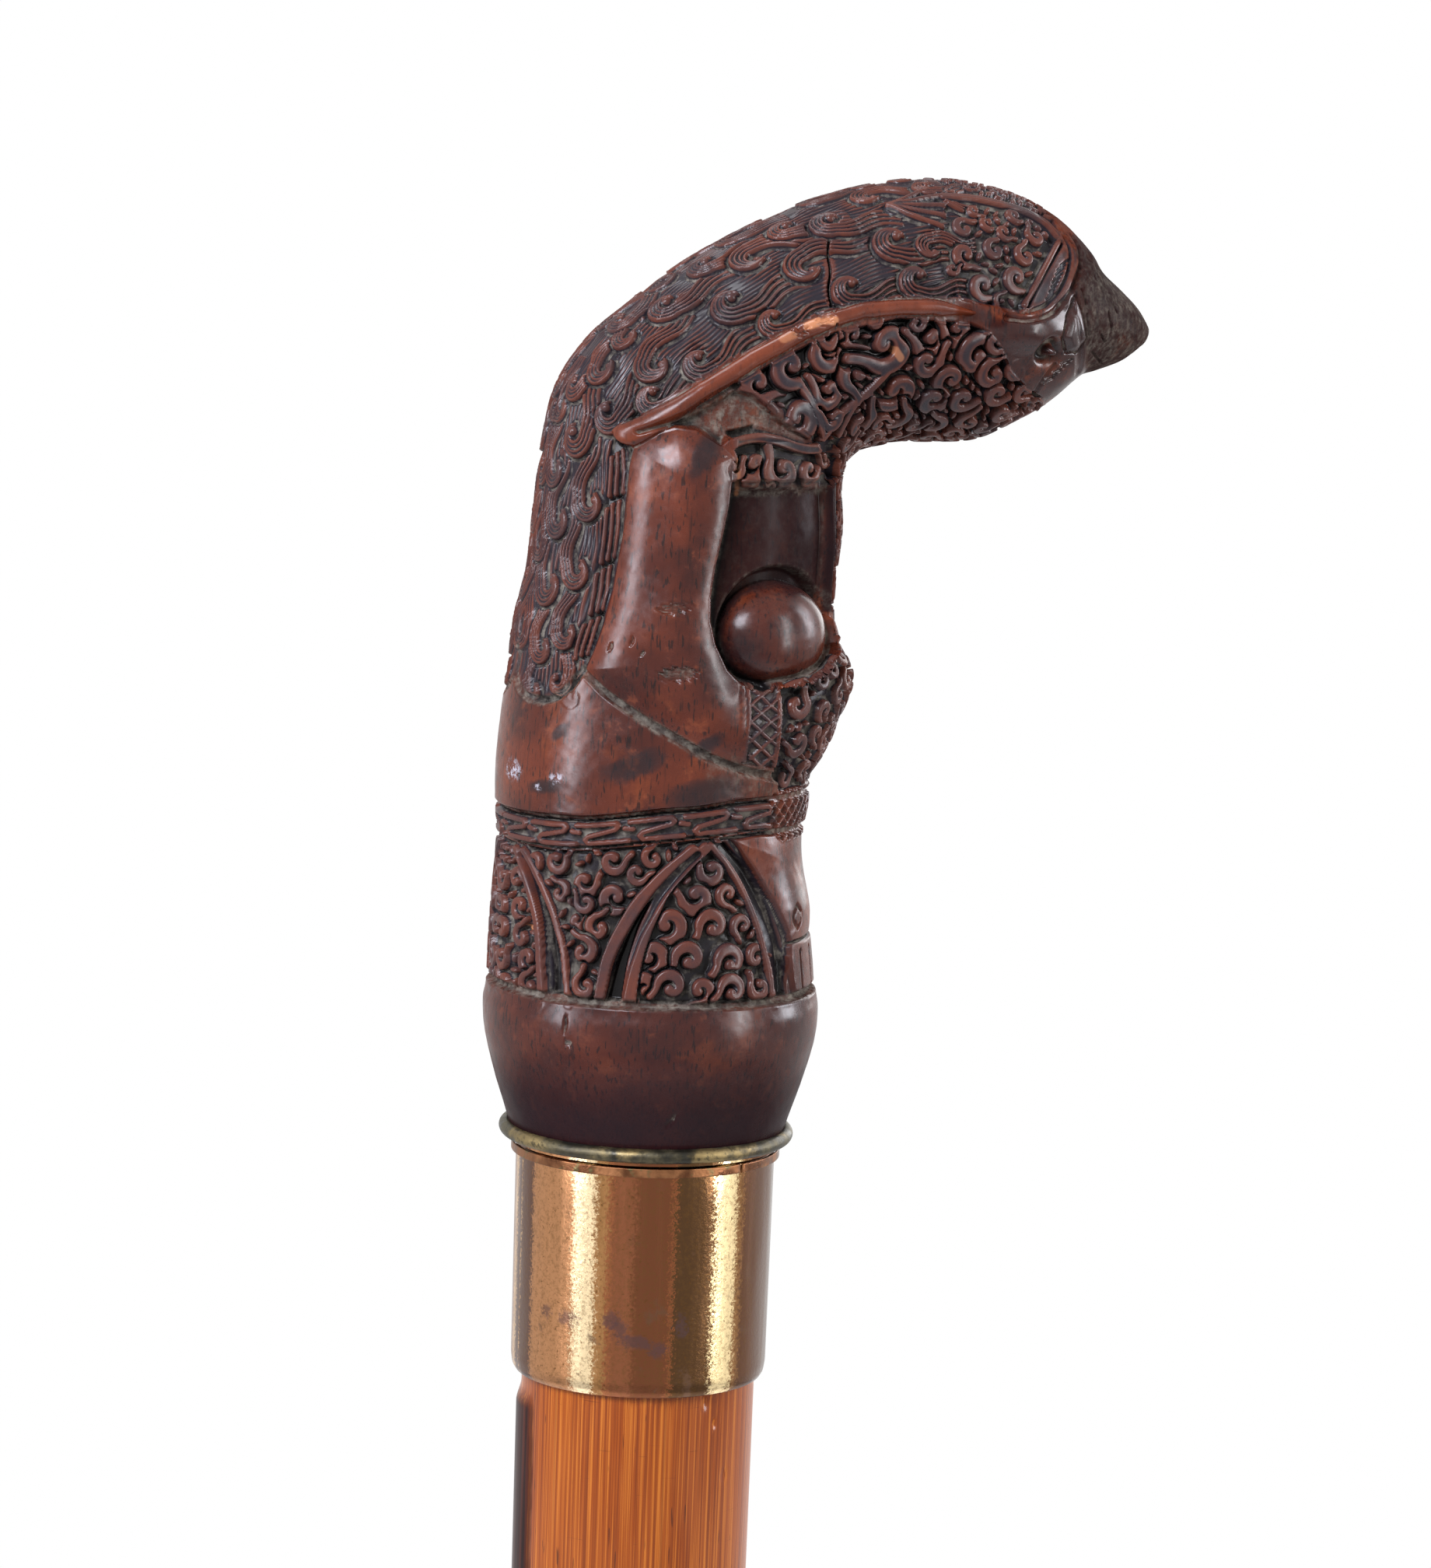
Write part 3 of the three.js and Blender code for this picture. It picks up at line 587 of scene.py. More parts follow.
# Stains near the foot: the angle, the share of the height, and how wide and tall each one is.
for turned, share, wide, tall in (
    (-2.73, 0.26, 0.06, 0.05), (-2.52, 0.25, 0.08, 0.05), (-2.14, 0.27, 0.08, 0.05),
    (-2.05, 0.22, 0.07, 0.05), (-1.93, 0.16, 0.12, 0.04), (-1.75, 0.12, 0.07, 0.03),
    (-1.58, 0.24, 0.05, 0.07),
):
    aside = gilt.maths("MULTIPLY", gilt.maths("SUBTRACT", gilt_turn, turned), 1 / wide)
    above = gilt.maths("MULTIPLY", gilt.maths("SUBTRACT", gilt_share, share), 1 / tall)
    away = gilt.node("CombineXYZ", {"X": aside, "Y": above})["Vector"]
    away = gilt.node("VectorMath", {0: away}, operation="LENGTH")["Value"]
    stain = gilt.between(gilt.maths("ADD", away, gilt_ragged), 1.3, 0.6, 0, 0.62)
    gilt_tone = gilt.blend(stain, gilt_tone, colour(86, 66, 68))
gilt_specks = gilt.between(gilt.clouds(3000, detail=1), 0.68, 0.74, 0, 0.7)
gilt_tone = gilt.blend(gilt_specks, gilt_tone, colour(96, 64, 34))
gilt_waves = gilt.clouds(150, stretch=(1, 1, 0.3), detail=2)
gilt.set(
    Base_Color=gilt_tone,
    Roughness=gilt.between(gilt_pull, 0.3, 0.75, 0.16, 0.3),
    Normal=gilt.bump(gilt_waves, 0.25 * millimetre, gilt.bump(gilt_fine, 0.02 * millimetre)),
)
add_piece("collar_tube_skin", turned_ring("collar_tube_skin", collar_outline, wobble=0.0006),
          "collar_tube", gilt)


def finish_node(node, finish):
    """Gives its finish to a piece that keeps the shape the frame gives it."""
    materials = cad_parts[node].data.materials
    materials.clear()
    materials.append(finish.material)


finish_node("collar_seat_disc", gilt)


# Copper strip: a thin band bent round the collar's top edge and soldered, with an open joint.
# It shows as a pink line under the rim.
seam_angle = -1.14
seam_width = 0.3 * millimetre
band_low, band_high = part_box("collar_band")
band_outer = band_high.x - 0.12 * millimetre
band_thickness = 0.23 * millimetre
band_steps = 220

copper = Finish("copper_strip", Metallic=1.0)
copper_cloud = copper.clouds(420, detail=6)
copper_green = copper.between(copper.clouds(800, detail=4), 0.58, 0.68, 0, 0.7)
copper_tone = copper.blend(
    copper.between(copper_cloud, 0.35, 0.65), colour(88, 56, 38), colour(132, 90, 60),
)
copper.set(
    Base_Color=copper.blend(copper_green, copper_tone, colour(92, 88, 60)),
    Roughness=copper.between(copper_cloud, 0.3, 0.7, 0.25, 0.5),
    Normal=copper.bump(copper.clouds(1400, detail=2), 0.06 * millimetre),
)
band_inner = band_outer - band_thickness
band_section = rounded([
    (band_inner, band_low.z), (band_outer, band_low.z),
    (band_outer, band_high.z), (band_inner, band_high.z),
], 0.1 * millimetre)
half_seam = seam_width / band_outer / 2
band_turns = np.linspace(seam_angle + half_seam, seam_angle + 2 * np.pi - half_seam, band_steps)
section_radius = np.array([point[0] for point in band_section])[None]
section_height = np.array([point[1] for point in band_section])[None]
band_points = np.stack([
    section_radius * np.cos(band_turns)[:, None], section_radius * np.sin(band_turns)[:, None],
    section_height + 0 * band_turns[:, None],
], -1)[:, ::-1]
band_ends = (band_points[0].mean(0), band_points[-1].mean(0))
add_piece("copper_strip", grid_mesh("copper_strip", band_points, poles=band_ends),
          "collar_band", copper)


# Rim bead: half-round brass wire soldered round the seat disc's edge. It was never lacquered,
# so it has gone olive and black, with yellow where a hand rubs it.
bead_bore = 14.8 * millimetre
bead_depth = 0.95 * millimetre
bead_share = 0.74  # of the height that its solid has
bead_fullness = 0.8  # 1 is a true half round, and less is fuller
bead_steps = 16
bead_half = bead_share * (bead_high.z - bead_low.z) / 2
bead_middle = bead_high.z - bead_half
bead_outline = []
for step in range(bead_steps + 1):
    rise = math.pi * (step / bead_steps - 0.5)
    reach = bead_bore + bead_depth * math.cos(rise) ** bead_fullness
    bead_outline.append((reach, bead_middle + bead_half * math.sin(rise)))

olive = Finish("tarnished_brass", Metallic=0.85)
olive_cloud = olive.clouds(350, detail=7, rough=0.65)
olive_rub = olive.between(olive.clouds(190, detail=5), 0.5, 0.62)
olive_tone = olive.blend(olive.between(olive_cloud, 0.35, 0.65), colour(42, 40, 34), colour(80, 73, 54))
olive_tone = olive.blend(olive.maths("MULTIPLY", olive_rub, 0.32), olive_tone, colour(172, 146, 92))
olive_grime = olive.between(olive.clouds(1500, detail=5, rough=0.7), 0.5, 0.62, 0, 0.75)
olive.set(
    Base_Color=olive.blend(olive_grime, olive_tone, colour(48, 44, 32)),
    Roughness=olive.between(olive_cloud, 0.3, 0.7, 0.34, 0.6),
    Normal=olive.bump(olive_cloud, 0.15 * millimetre),
)
bead_mesh = turned_ring("rim_bead", bead_outline, wobble=0.0015)
add_piece("rim_bead", bead_mesh, "collar_bead", olive)


# Stud: a plain steel rod glued into the handle and the cane, hidden once the stick is together.
# It keeps the shape that the frame gives it and only takes its finish here.
stud_steel = Finish("stud_steel", Metallic=1.0)
stud_scale = stud_steel.clouds(600, stretch=(1, 1, 0.2), detail=5)
stud_rust = stud_steel.between(stud_scale, 0.4, 0.65)
stud_steel.set(
    Base_Color=stud_steel.blend(stud_rust, colour(128, 126, 122), colour(84, 64, 50)),
    Roughness=stud_steel.between(stud_scale, 0.3, 0.7, 0.35, 0.6),
    Normal=stud_steel.bump(stud_scale, 0.08 * millimetre),
)
finish_node("handle_stud", stud_steel)


# Handle: one block of dark hardwood, carved as a bird-headed figure under a mantle of curled
# hair, standing in a skirt of scrolled panels on a plain bulb. It is bored for the stud.
# The plain form comes first, then the large forms, and then the surface carving is cut into it.
head_reach = 54.8
grip_half_depth = 34.6 / 2
grip_half_width = 33.2 / 2
bulb_radius = 17.9
bulb_height = 15.4
seat_radius = 14.5
stud_in_handle = 43 * millimetre
handle_height = (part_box("handle")[1].z - rim.z) / millimetre
carving_pitch = 0.13  # between neighbouring points of the carved surface
plain_pitch = 0.3
handle_columns = 800
half_columns = handle_columns // 2

bulb_shares = [(0.852, 0.16), (0.915, 0.39), (0.983, 0.69), (1, 0.9), (0.985, 1.03)]
# Body: back and front as shares of half the depth, height as a share of the handle's height,
# width as a share of half the width.
body_shares = [
    (-1.017, 0.994, 0.196, 1.036), (-1.006, 0.948, 0.245, 1.012), (-0.988, 0.884, 0.303, 0.976),
    (-1.003, 0.926, 0.352, 0.982), (-1, 0.935, 0.391, 1), (-0.977, 1.03, 0.44, 1.012),
    (-0.948, 1.14, 0.489, 1.018), (-0.913, 1.05, 0.538, 1.012), (-0.844, 1.052, 0.587, 1),
    (-0.821, 1.081, 0.636, 0.994), (-0.798, 1.064, 0.677, 0.982),
]
# Head: places along the way from the back line to the beak, heights as shares of the handle's
# height, width as a share of half the width: top place and height, underside place and height.
head_shares = [
    (0.057, 0.729, 0.498, 0.695, 0.964), (0.074, 0.78, 0.501, 0.7, 0.946),
    (0.12, 0.828, 0.505, 0.705, 0.928), (0.18, 0.864, 0.512, 0.71, 0.91),
    (0.263, 0.908, 0.522, 0.714, 0.892), (0.365, 0.948, 0.54, 0.718, 0.873),
    (0.446, 0.973, 0.563, 0.721, 0.855), (0.542, 0.992, 0.595, 0.725, 0.837),
    (0.642, 1, 0.645, 0.725, 0.801), (0.745, 0.991, 0.712, 0.728, 0.735),
    (0.82, 0.97, 0.769, 0.745, 0.657), (0.87, 0.943, 0.817, 0.764, 0.572),
    (0.91, 0.912, 0.869, 0.793, 0.47), (0.948, 0.891, 0.914, 0.803, 0.361),
    (0.978, 0.873, 0.955, 0.813, 0.253), (0.997, 0.857, 0.982, 0.825, 0.145),
]


def handle_sections():
    """Back x and z, front x and z, and half width of each section, in millimetres above the rim."""
    sections = [(-seat_radius, 0, seat_radius, 0, seat_radius)]
    for share, up in bulb_shares:
        reach = share * bulb_radius
        sections.append((-reach, up * bulb_height, reach, up * bulb_height, reach))
    for back, front, up, wide in body_shares:
        height = up * handle_height
        sections.append((
            back * grip_half_depth, height, front * grip_half_depth, height, wide * grip_half_width,
        ))
    way = head_reach + grip_half_depth
    for top, top_up, under, under_up, wide in head_shares:
        sections.append((
            top * way - grip_half_depth, top_up * handle_height,
            under * way - grip_half_depth, under_up * handle_height, wide * grip_half_width,
        ))
    return np.array(sections)


def through(points, at):
    """A smooth curve through rows of points, read at row numbers."""
    last = len(points) - 1
    row = np.clip(np.floor(at).astype(int), 0, last - 1)
    share = (at - row)[:, None]
    before, here = points[np.maximum(row - 1, 0)], points[row]
    on, after = points[row + 1], points[np.minimum(row + 2, last)]
    return 0.5 * (2 * here + (on - before) * share + (2 * before - 5 * here + 4 * on - after) * share ** 2
                  + (3 * here - before - 3 * on + after) * share ** 3)


sections = handle_sections()
fine_rows = np.linspace(0, len(sections) - 1, 6001)
fine_lines = through(sections, fine_rows)
steps_back = np.hypot(*np.diff(fine_lines[:, 0:2], axis=0).T)
steps_front = np.hypot(*np.diff(fine_lines[:, 2:4], axis=0).T)
pitch = np.where(fine_lines[1:, 1] < bulb_height, plain_pitch, carving_pitch)
grown = np.concatenate([[0], np.cumsum(np.maximum(steps_back, steps_front) / pitch)])
handle_rows = int(grown[-1])
lines = through(sections, np.interp(np.linspace(0, grown[-1], handle_rows), grown, fine_rows))
around = 2 * np.pi * np.arange(handle_columns) / handle_columns  # 0 on the back line, near side first
middle = (lines[:, 0:2] + lines[:, 2:4]) / 2
half = (lines[:, 2:4] - lines[:, 0:2]) / 2
form = np.empty((handle_rows, handle_columns, 3))
form[..., 0] = middle[:, :1] - half[:, :1] * np.cos(around)
form[..., 2] = middle[:, 1:] - half[:, 1:] * np.cos(around)
form[..., 1] = -lines[:, 4:5] * np.sin(around)
near = slice(0, half_columns + 1)


def surface_normals(points):
    across = np.roll(points, -1, axis=1) - np.roll(points, 1, axis=1)
    up = np.gradient(points, axis=0)
    normals = np.cross(across, up)
    return normals / np.maximum(np.linalg.norm(normals, axis=-1, keepdims=True), 1e-9)


def to_path(points, path):
    """Distance of points from a path of straight pieces, and how far along it, 0 to 1."""
    path = np.asarray(path, float)
    lengths = np.linalg.norm(np.diff(path, axis=0), axis=1)
    reached = np.concatenate([[0], np.cumsum(lengths)]) / max(lengths.sum(), 1e-9)
    least = np.full(points.shape[:-1], 1e9)
    along = np.zeros(points.shape[:-1])
    for number, length in enumerate(lengths):
        if length < 1e-9:
            continue
        way = (path[number + 1] - path[number]) / length
        off = points - path[number]
        share = np.clip(off @ way / length, 0, 1)
        gap = ((off - share[..., None] * (way * length)) ** 2).sum(-1)
        closer = gap < least
        least = np.where(closer, gap, least)
        along = np.where(closer, reached[number] + share * (reached[number + 1] - reached[number]), along)
    return np.sqrt(least), along


def outside(points, outline):
    """Distance outside a closed outline, negative inside it."""
    closed = list(outline) + [outline[0]]
    gap = to_path(points, closed)[0]
    inner = np.zeros(gap.shape, bool)
    for (x0, z0), (x1, z1) in zip(closed[:-1], closed[1:]):
        crosses = (points[..., 1] < z0) != (points[..., 1] < z1)
        rise = (z1 - z0) if z1 != z0 else 1e-9
        inner ^= crosses & (points[..., 0] < x0 + (points[..., 1] - z0) / rise * (x1 - x0))
    return np.where(inner, -gap, gap)


def softly(gap, edge):
    """1 inside a form's outline, 0 outside it, with a wall between them."""
    return 1 - ease(gap, -edge / 2, edge / 2)


# Large forms of the figure, drawn on its side view in millimetres forward of the axis and
# above the rim. Both flanks take the same forms.
arm_back = [(-12.5, 50.8), (-11.7, 53.4), (-11.0, 55.9), (-10.2, 59.1), (-9.7, 62.3), (-9.3, 65.4),
            (-9.1, 68.6), (-8.8, 71.9), (-8.4, 73.6)]
arm_top = [(-7.0, 75.0), (-4.5, 75.8), (-2.0, 75.6), (-0.4, 74.6)]
arm_front = [(1.1, 73.1), (1.1, 70.7), (0.9, 68.3), (0.3, 65.1), (-0.4, 61.9), (-0.8, 58.9),
             (-0.8, 56.4), (-0.2, 54.1), (1.1, 51.6), (2.3, 49.6)]
hand_line = [(5.7, 49.4), (9.5, 49.8), (13.0, 51.4), (17.0, 52.6), (21.5, 52.8)]
arm_foot = [
    (21.5, 39.0), (12.0, 39.4), (7.5, 40.0), (3.4, 40.8), (-0.1, 42.1), (-2.6, 43.4), (-4.9, 44.8),
    (-7.0, 46.1), (-9.1, 47.5), (-11.1, 49.1),
]
arm_outline = arm_back + arm_top + arm_front + hand_line + arm_foot
arm_rise = 1.2
arm_rounding = 4.6

flank_outline = [
    (1.6, 75.0), (1.3, 73.1), (1.1, 70.7), (0.9, 68.3), (0.3, 65.1), (-0.4, 61.9), (-0.8, 58.9),
    (-0.8, 56.4), (-0.2, 54.1), (1.1, 51.6), (2.6, 50.2), (5.7, 49.6), (9.3, 50.2), (12.5, 51.4),
    (14.6, 53.5), (14.9, 57.0), (14.6, 61.0), (14.4, 66.0), (14.1, 70.0), (13.6, 75.2),
]
flank_depth = 2.5
flank_wall = 0.7
flank_taper = 0.45
socket_place = (8.0, 55.3)
socket_size = (7.9, 6.7)
socket_depth = 1.3
ball_place = (7.9, 54.8)
ball_size = (7.4, 5.4)
ball_rise = 4.6
shoulder_flat = [
    (-7.6, 75.3), (-3.5, 77.3), (1.5, 80.3), (3.5, 79.5), (6.0, 77.5), (10.4, 74.9), (7.8, 75.3),
    (4.0, 76.0), (0.5, 75.2), (-0.2, 74.6), (-2.5, 76.1), (-4.7, 76.4), (-6.5, 75.7),
]
shoulder_depth = 1.4

hood_path = [
    (-8.6, 75.0), (-7.1, 76.0), (-4.4, 77.9), (-1.8, 79.8), (0.9, 81.4), (3.4, 83.0), (6.0, 84.4),
    (8.9, 86.0), (12.0, 87.3), (15.4, 88.3), (19.7, 88.8), (23.3, 88.9), (27.9, 88.4),
]
hood_rise = 0.95
hood_widths = (1.25, 0.8)  # half width at its lower end and at its upper end
cheek_place = (36.2, 86.7)
cheek_size = (6.4, 3.2)
cheek_rise = 1.2
eye_place = (38.0, 84.6)
eye_rise = 0.7
brow_groove = [
    (44.6, 94.3), (43.0, 93.4), (41.9, 92.2), (41.3, 90.6), (41.2, 88.7), (41.7, 86.6), (42.9, 83.9),
    (43.6, 82.4),
]
beak_outline = [
    (45.5, 94.0), (42.9, 91.8), (42.2, 88.7), (42.9, 86.0), (44.2, 83.0), (48, 81), (56, 82), (56, 92),
]
neck_outline = [
    (-2.2, 78.0), (1.5, 80.5), (6.5, 83.3), (9.4, 84.7), (12.4, 86.0), (19.7, 87.6), (27.7, 87.2),
    (30.2, 86.3), (31.9, 84.9), (33.6, 82.4), (36.2, 80.5), (39.9, 79.0), (42, 76), (34, 72.5),
    (22, 71), (14, 70.5), (12.4, 73.4), (10.4, 74.9), (7.8, 76.4), (5.5, 78.2), (3.5, 79.7),
    (1.5, 80.2),
]
hair_outline = [
    (-24, 44), (-16.2, 52.5), (-16.45, 50.5), (-16.4, 48.9), (-16.25, 47.3), (-15.6, 46.9),
    (-14.6, 47.4), (-13.5, 48.6),
] + arm_back + [
    (-9.8, 74.9), (-9.3, 76.0), (-7.3, 77.3), (-4.8, 79.3), (0.4, 82.6), (5.6, 85.6), (11.8, 88.5),
    (19.7, 90.0), (26.6, 89.9), (26.2, 93.0), (27.4, 96.0), (28.6, 99.0), (30, 106), (-30, 106),
    (-30, 44),
]
forehead_outline = [
    (26.7, 89.9), (30.5, 89.3), (33.8, 88.9), (36.6, 89.6), (38.6, 91.3), (39.9, 93.6), (40.6, 95.6),
    (41.2, 104), (29.0, 106), (28.2, 99.0), (27.0, 96.0), (25.9, 93.0),
]
belt_top = [
    (-24, 35.0), (-17.3, 35.0), (-15.2, 35.2), (-12.2, 35.4), (-8.9, 36.0), (-5.3, 36.6), (-1.5, 36.9),
    (2.9, 37.5), (6.3, 37.6), (10.2, 37.6), (24, 37.6),
]
belt_foot = [
    (-24, 31.7), (-17.1, 31.8), (-15.0, 31.8), (-12.1, 32.2), (-8.8, 32.8), (-5.3, 33.3), (-1.3, 33.7),
    (5.6, 34.2), (11.0, 33.9), (24, 33.8),
]
hem_height = 16.6

side = form[:, near][..., [0, 2]]


def ellipse_reach(place, size=(1, 1)):
    """How far each point lies from the middle of an ellipse, 1 on its outline."""
    return np.hypot((side[..., 0] - place[0]) / size[0], (side[..., 1] - place[1]) / size[1])


arm_inside = -outside(side, arm_outline)
arm_swell = arm_rise * (1 - (1 - np.clip(arm_inside / arm_rounding, 0, 1)) ** 2)
flank_inside = -outside(side, flank_outline)
flank_open = softly(-flank_inside, flank_wall)
flank_cut = flank_open * flank_depth * (1 - flank_taper * ease(side[..., 0], 0, grip_half_depth))
flank_top = ease(side[..., 1], 69.4, 71.0)  # its floor rises to a ledge of scrolls under the arm
flank_cut = flank_cut * (1 - 0.9 * flank_top)
socket_off = ellipse_reach(socket_place, socket_size)
socket_cut = socket_depth * (1 - ease(socket_off, 0.88, 1.0)) * flank_open
ball_off = ellipse_reach(ball_place, ball_size)
ball_dome = half_round(ball_off, 1) * ball_rise
hood_gap, hood_along = to_path(side, hood_path)
hood_half = hood_widths[0] + (hood_widths[1] - hood_widths[0]) * ease(hood_along, 0.0, 0.18)
hood_half = hood_half * (1 - 0.7 * ease(hood_along, 0.9, 1.0))
hood_swell = hood_rise * half_round(hood_gap, hood_half)
cheek_swell = cheek_rise * (1 - ease(ellipse_reach(cheek_place, cheek_size), 0.1, 1.0))
eye_off = ellipse_reach(eye_place)
eye_swell = eye_rise * (
    1.5 * np.exp(-(eye_off / 0.6) ** 2) - 1.4 * np.exp(-((eye_off - 1.0) / 0.55) ** 2)
)
brow_cut = 0.3 * (1 - ease(to_path(side, brow_groove)[0], 0.1, 0.9))
beak_cut = 0.25 * softly(outside(side, beak_outline), 1.6)
flat_cut = shoulder_depth * softly(outside(side, shoulder_flat), 0.9)
large = arm_swell - flank_cut - socket_cut + ball_dome + hood_swell
large = large + cheek_swell + eye_swell - brow_cut - beak_cut - flat_cut
large = large * np.clip(np.sin(around[near]) * 2.2, 0, 1)  # nothing on the front and back lines


def both_sides(near_values):
    """Repeats values of the near side on the far side."""
    return np.concatenate([near_values, near_values[:, -2:0:-1]], axis=1)


form = form + surface_normals(form) * both_sides(large)[..., None]
normals = surface_normals(form)
near_points = form[:, near]
near_side = near_points[..., [0, 2]]

# Where the photograph shows each point of the near side, so that carving can be placed by its pixels.
shown_cell = 2
view_axes = np.array([view_right, view_up, view_forward])
camera_at = (np.array(camera_place) - np.array(rim)) / millimetre
from_camera = (near_points - camera_at) @ view_axes.T
shown_x = photo_size[0] / 2 + photo_focal * from_camera[..., 0] / from_camera[..., 2]
shown_y = photo_size[1] / 2 - photo_focal * from_camera[..., 1] / from_camera[..., 2]
toward = -(normals[:, near] * (near_points - camera_at)).sum(-1)
shown = np.full((photo_size[1] // shown_cell, photo_size[0] // shown_cell), -1)
facing = np.flatnonzero((toward > 0).ravel())
facing = facing[np.argsort(-from_camera[..., 2].ravel()[facing])]  # the nearest is written last
shown_row = (shown_y.ravel()[facing] // shown_cell).astype(int)
shown_column = (shown_x.ravel()[facing] // shown_cell).astype(int)
shown[shown_row, shown_column] = facing
photo_scale = 0.0825  # millimetres for each pixel of the photograph, at the handle


def seen_at(pixel):
    """Row and column of the nearest point that the photograph shows at a pixel."""
    for reach in (1, 3, 8, 20, 40):
        top, left = int(pixel[1] // shown_cell) - reach, int(pixel[0] // shown_cell) - reach
        window = shown[max(top, 0):top + 2 * reach + 1, max(left, 0):left + 2 * reach + 1]
        found = window[window >= 0]
        if len(found):
            gaps = np.hypot(shown_x.ravel()[found] - pixel[0], shown_y.ravel()[found] - pixel[1])
            return divmod(int(found[np.argmin(gaps)]), half_columns + 1)
    raise ValueError("no point of the handle is shown near that pixel")


def traced(pixels, step=8):
    """A smooth line on the surface under a line drawn on the photograph."""
    points = []
    for start, end in zip(pixels[:-1], pixels[1:]):
        count = max(1, round(math.dist(start, end) / step))
        for number in range(count):
            share = number / count
            points.append((
                start[0] + (end[0] - start[0]) * share, start[1] + (end[1] - start[1]) * share,
            ))
    points.append(pixels[-1])
    found = np.array([form[seen_at(point)] for point in points])
    leaps = np.linalg.norm(np.diff(found, axis=0, prepend=found[:1]), axis=1)
    found = found[leaps < 4 * step * photo_scale]
    for _ in range(3):
        found[1:-1] = (found[:-2] + 2 * found[1:-1] + found[2:]) / 4
    return found


def window_of(low, high):
    """The near side's rows and columns that hold the box from low to high."""
    held = ((near_points >= low) & (near_points <= high)).all(-1)
    rows = np.flatnonzero(held.any(1))
    columns = np.flatnonzero(held.any(0))
    if not len(rows):
        return None
    return slice(rows[0], rows[-1] + 1), slice(columns[0], columns[-1] + 1)


def window_round(path, margin):
    """The near side's rows and columns within a margin of a path."""
    return window_of(path.min(0) - margin, path.max(0) + margin)


# Layers of the near side's carving, each one value for each of its points.
layers = {name: np.zeros((handle_rows, half_columns + 1)) for name in (
    "ground",  # how deep the field between motifs is cut
    "raised",  # how high a motif stands above that field
    "proud",  # what stands above the plain form
    "scored",  # lines cut in afterwards
    "near_only",  # cuts that only the near side has
    "dust", "pale", "rubbed", "stain", "shade", "matte", "paint",
)}


def lay_over(name, values, window=(slice(None), slice(None))):
    layers[name][window] = np.maximum(layers[name][window], values)


def stroke(name, path, half_width, height, slope=0.16, ends=(1, 1), round_top=False):
    """Adds one line along a path of surface points: a ridge, a cut or a streak of colour."""
    window = window_round(path, half_width * max(ends) + slope)
    if window is None:
        return
    gap, along = to_path(near_points[window], path)
    width = half_width * (ends[0] + (ends[1] - ends[0]) * along)
    if round_top:
        shape = half_round(gap, width + slope)
    else:
        shape = 1 - ease(gap, width, width + slope)
    lay_over(name, shape * height, window)


def clear_along(path, low, high):
    """Takes the raised carving away within low of a path, and none of it beyond high."""
    window = window_round(path, high)
    layers["raised"][window] *= ease(to_path(near_points[window], path)[0], low, high)


def shown_way(at, degrees):
    """The direction along the surface that shows as this direction in the photograph."""
    normal = normals[at]
    right = view_axes[0] - normal * (view_axes[0] @ normal)
    right = right / np.linalg.norm(right)
    up = np.cross(normal, right)
    shown_axes = np.array([
        [right @ view_axes[0], up @ view_axes[0]], [right @ view_axes[1], up @ view_axes[1]],
    ])
    wanted = (math.cos(math.radians(degrees)), math.sin(math.radians(degrees)))
    way = np.linalg.solve(shown_axes, wanted)
    return right * way[0] + up * way[1]


def up_handle(at, degrees=0.0):
    """The direction along the surface up the handle to the beak, turned to the left by degrees."""
    low, high = max(at[0] - 6, 0), min(at[0] + 6, handle_rows - 1)
    way = form[high, at[1]] - form[low, at[1]]
    way = way / np.linalg.norm(way)
    turned = math.radians(degrees)
    return way * math.cos(turned) + np.cross(normals[at], way) * math.sin(turned)


class Patch:
    """The surface round one point, laid flat: x along a direction and y to its left, in sizes."""

    def __init__(self, at, way, hand, size, reach):
        normal = normals[at]
        way = way - normal * (way @ normal)
        way = way / np.linalg.norm(way)
        left = np.cross(normal, way) * hand
        self.window = window_of(form[at] - reach * size, form[at] + reach * size)
        off = near_points[self.window] - form[at]
        self.places = np.stack([off @ way, off @ left], -1) / size
        turned_away = (normals[:, near][self.window] @ normal) <= 0.25
        too_deep = np.abs(off @ normal) >= 0.7 * reach * size
        self.faces = ~(turned_away | too_deep)

    def lay(self, name, values):
        lay_over(name, np.where(self.faces, values, 0), self.window)

    def lay_on_top(self, name, values, clear):
        """Lays values over what is there, which is first cut away where clear is 0."""
        under = layers[name][self.window]
        over = np.maximum(under * clear, values)
        layers[name][self.window] = np.where(self.faces, over, under)


def spread(values, reach, times=2):
    """values of the near side averaged over reach points each way."""
    for _ in range(times):
        wide = np.concatenate([values[:, reach:0:-1], values, values[:, -2:-2 - reach:-1]], axis=1)
        sums = np.cumsum(np.pad(wide, ((0, 0), (1, 0))), axis=1)
        values = (sums[:, 2 * reach + 1:] - sums[:, :-2 * reach - 1]) / (2 * reach + 1)
        tall = np.pad(values, ((reach, reach), (0, 0)), mode="edge")
        sums = np.cumsum(np.pad(tall, ((1, 0), (0, 0))), axis=0)
        values = (sums[2 * reach + 1:] - sums[:-2 * reach - 1]) / (2 * reach + 1)
    return values


def uneven(points, pitch, seed, waves=10):
    """A slow irregular ripple over points, with waves of about pitch."""
    dice = np.random.default_rng(seed)
    total = np.zeros(points.shape[:-1])
    for _ in range(waves):
        way = dice.normal(size=3)
        way = way / np.linalg.norm(way) * 2 * np.pi / (pitch * dice.uniform(0.7, 1.6))
        total += np.sin(points @ way + dice.uniform(0, 2 * np.pi))
    return total / math.sqrt(waves / 2)


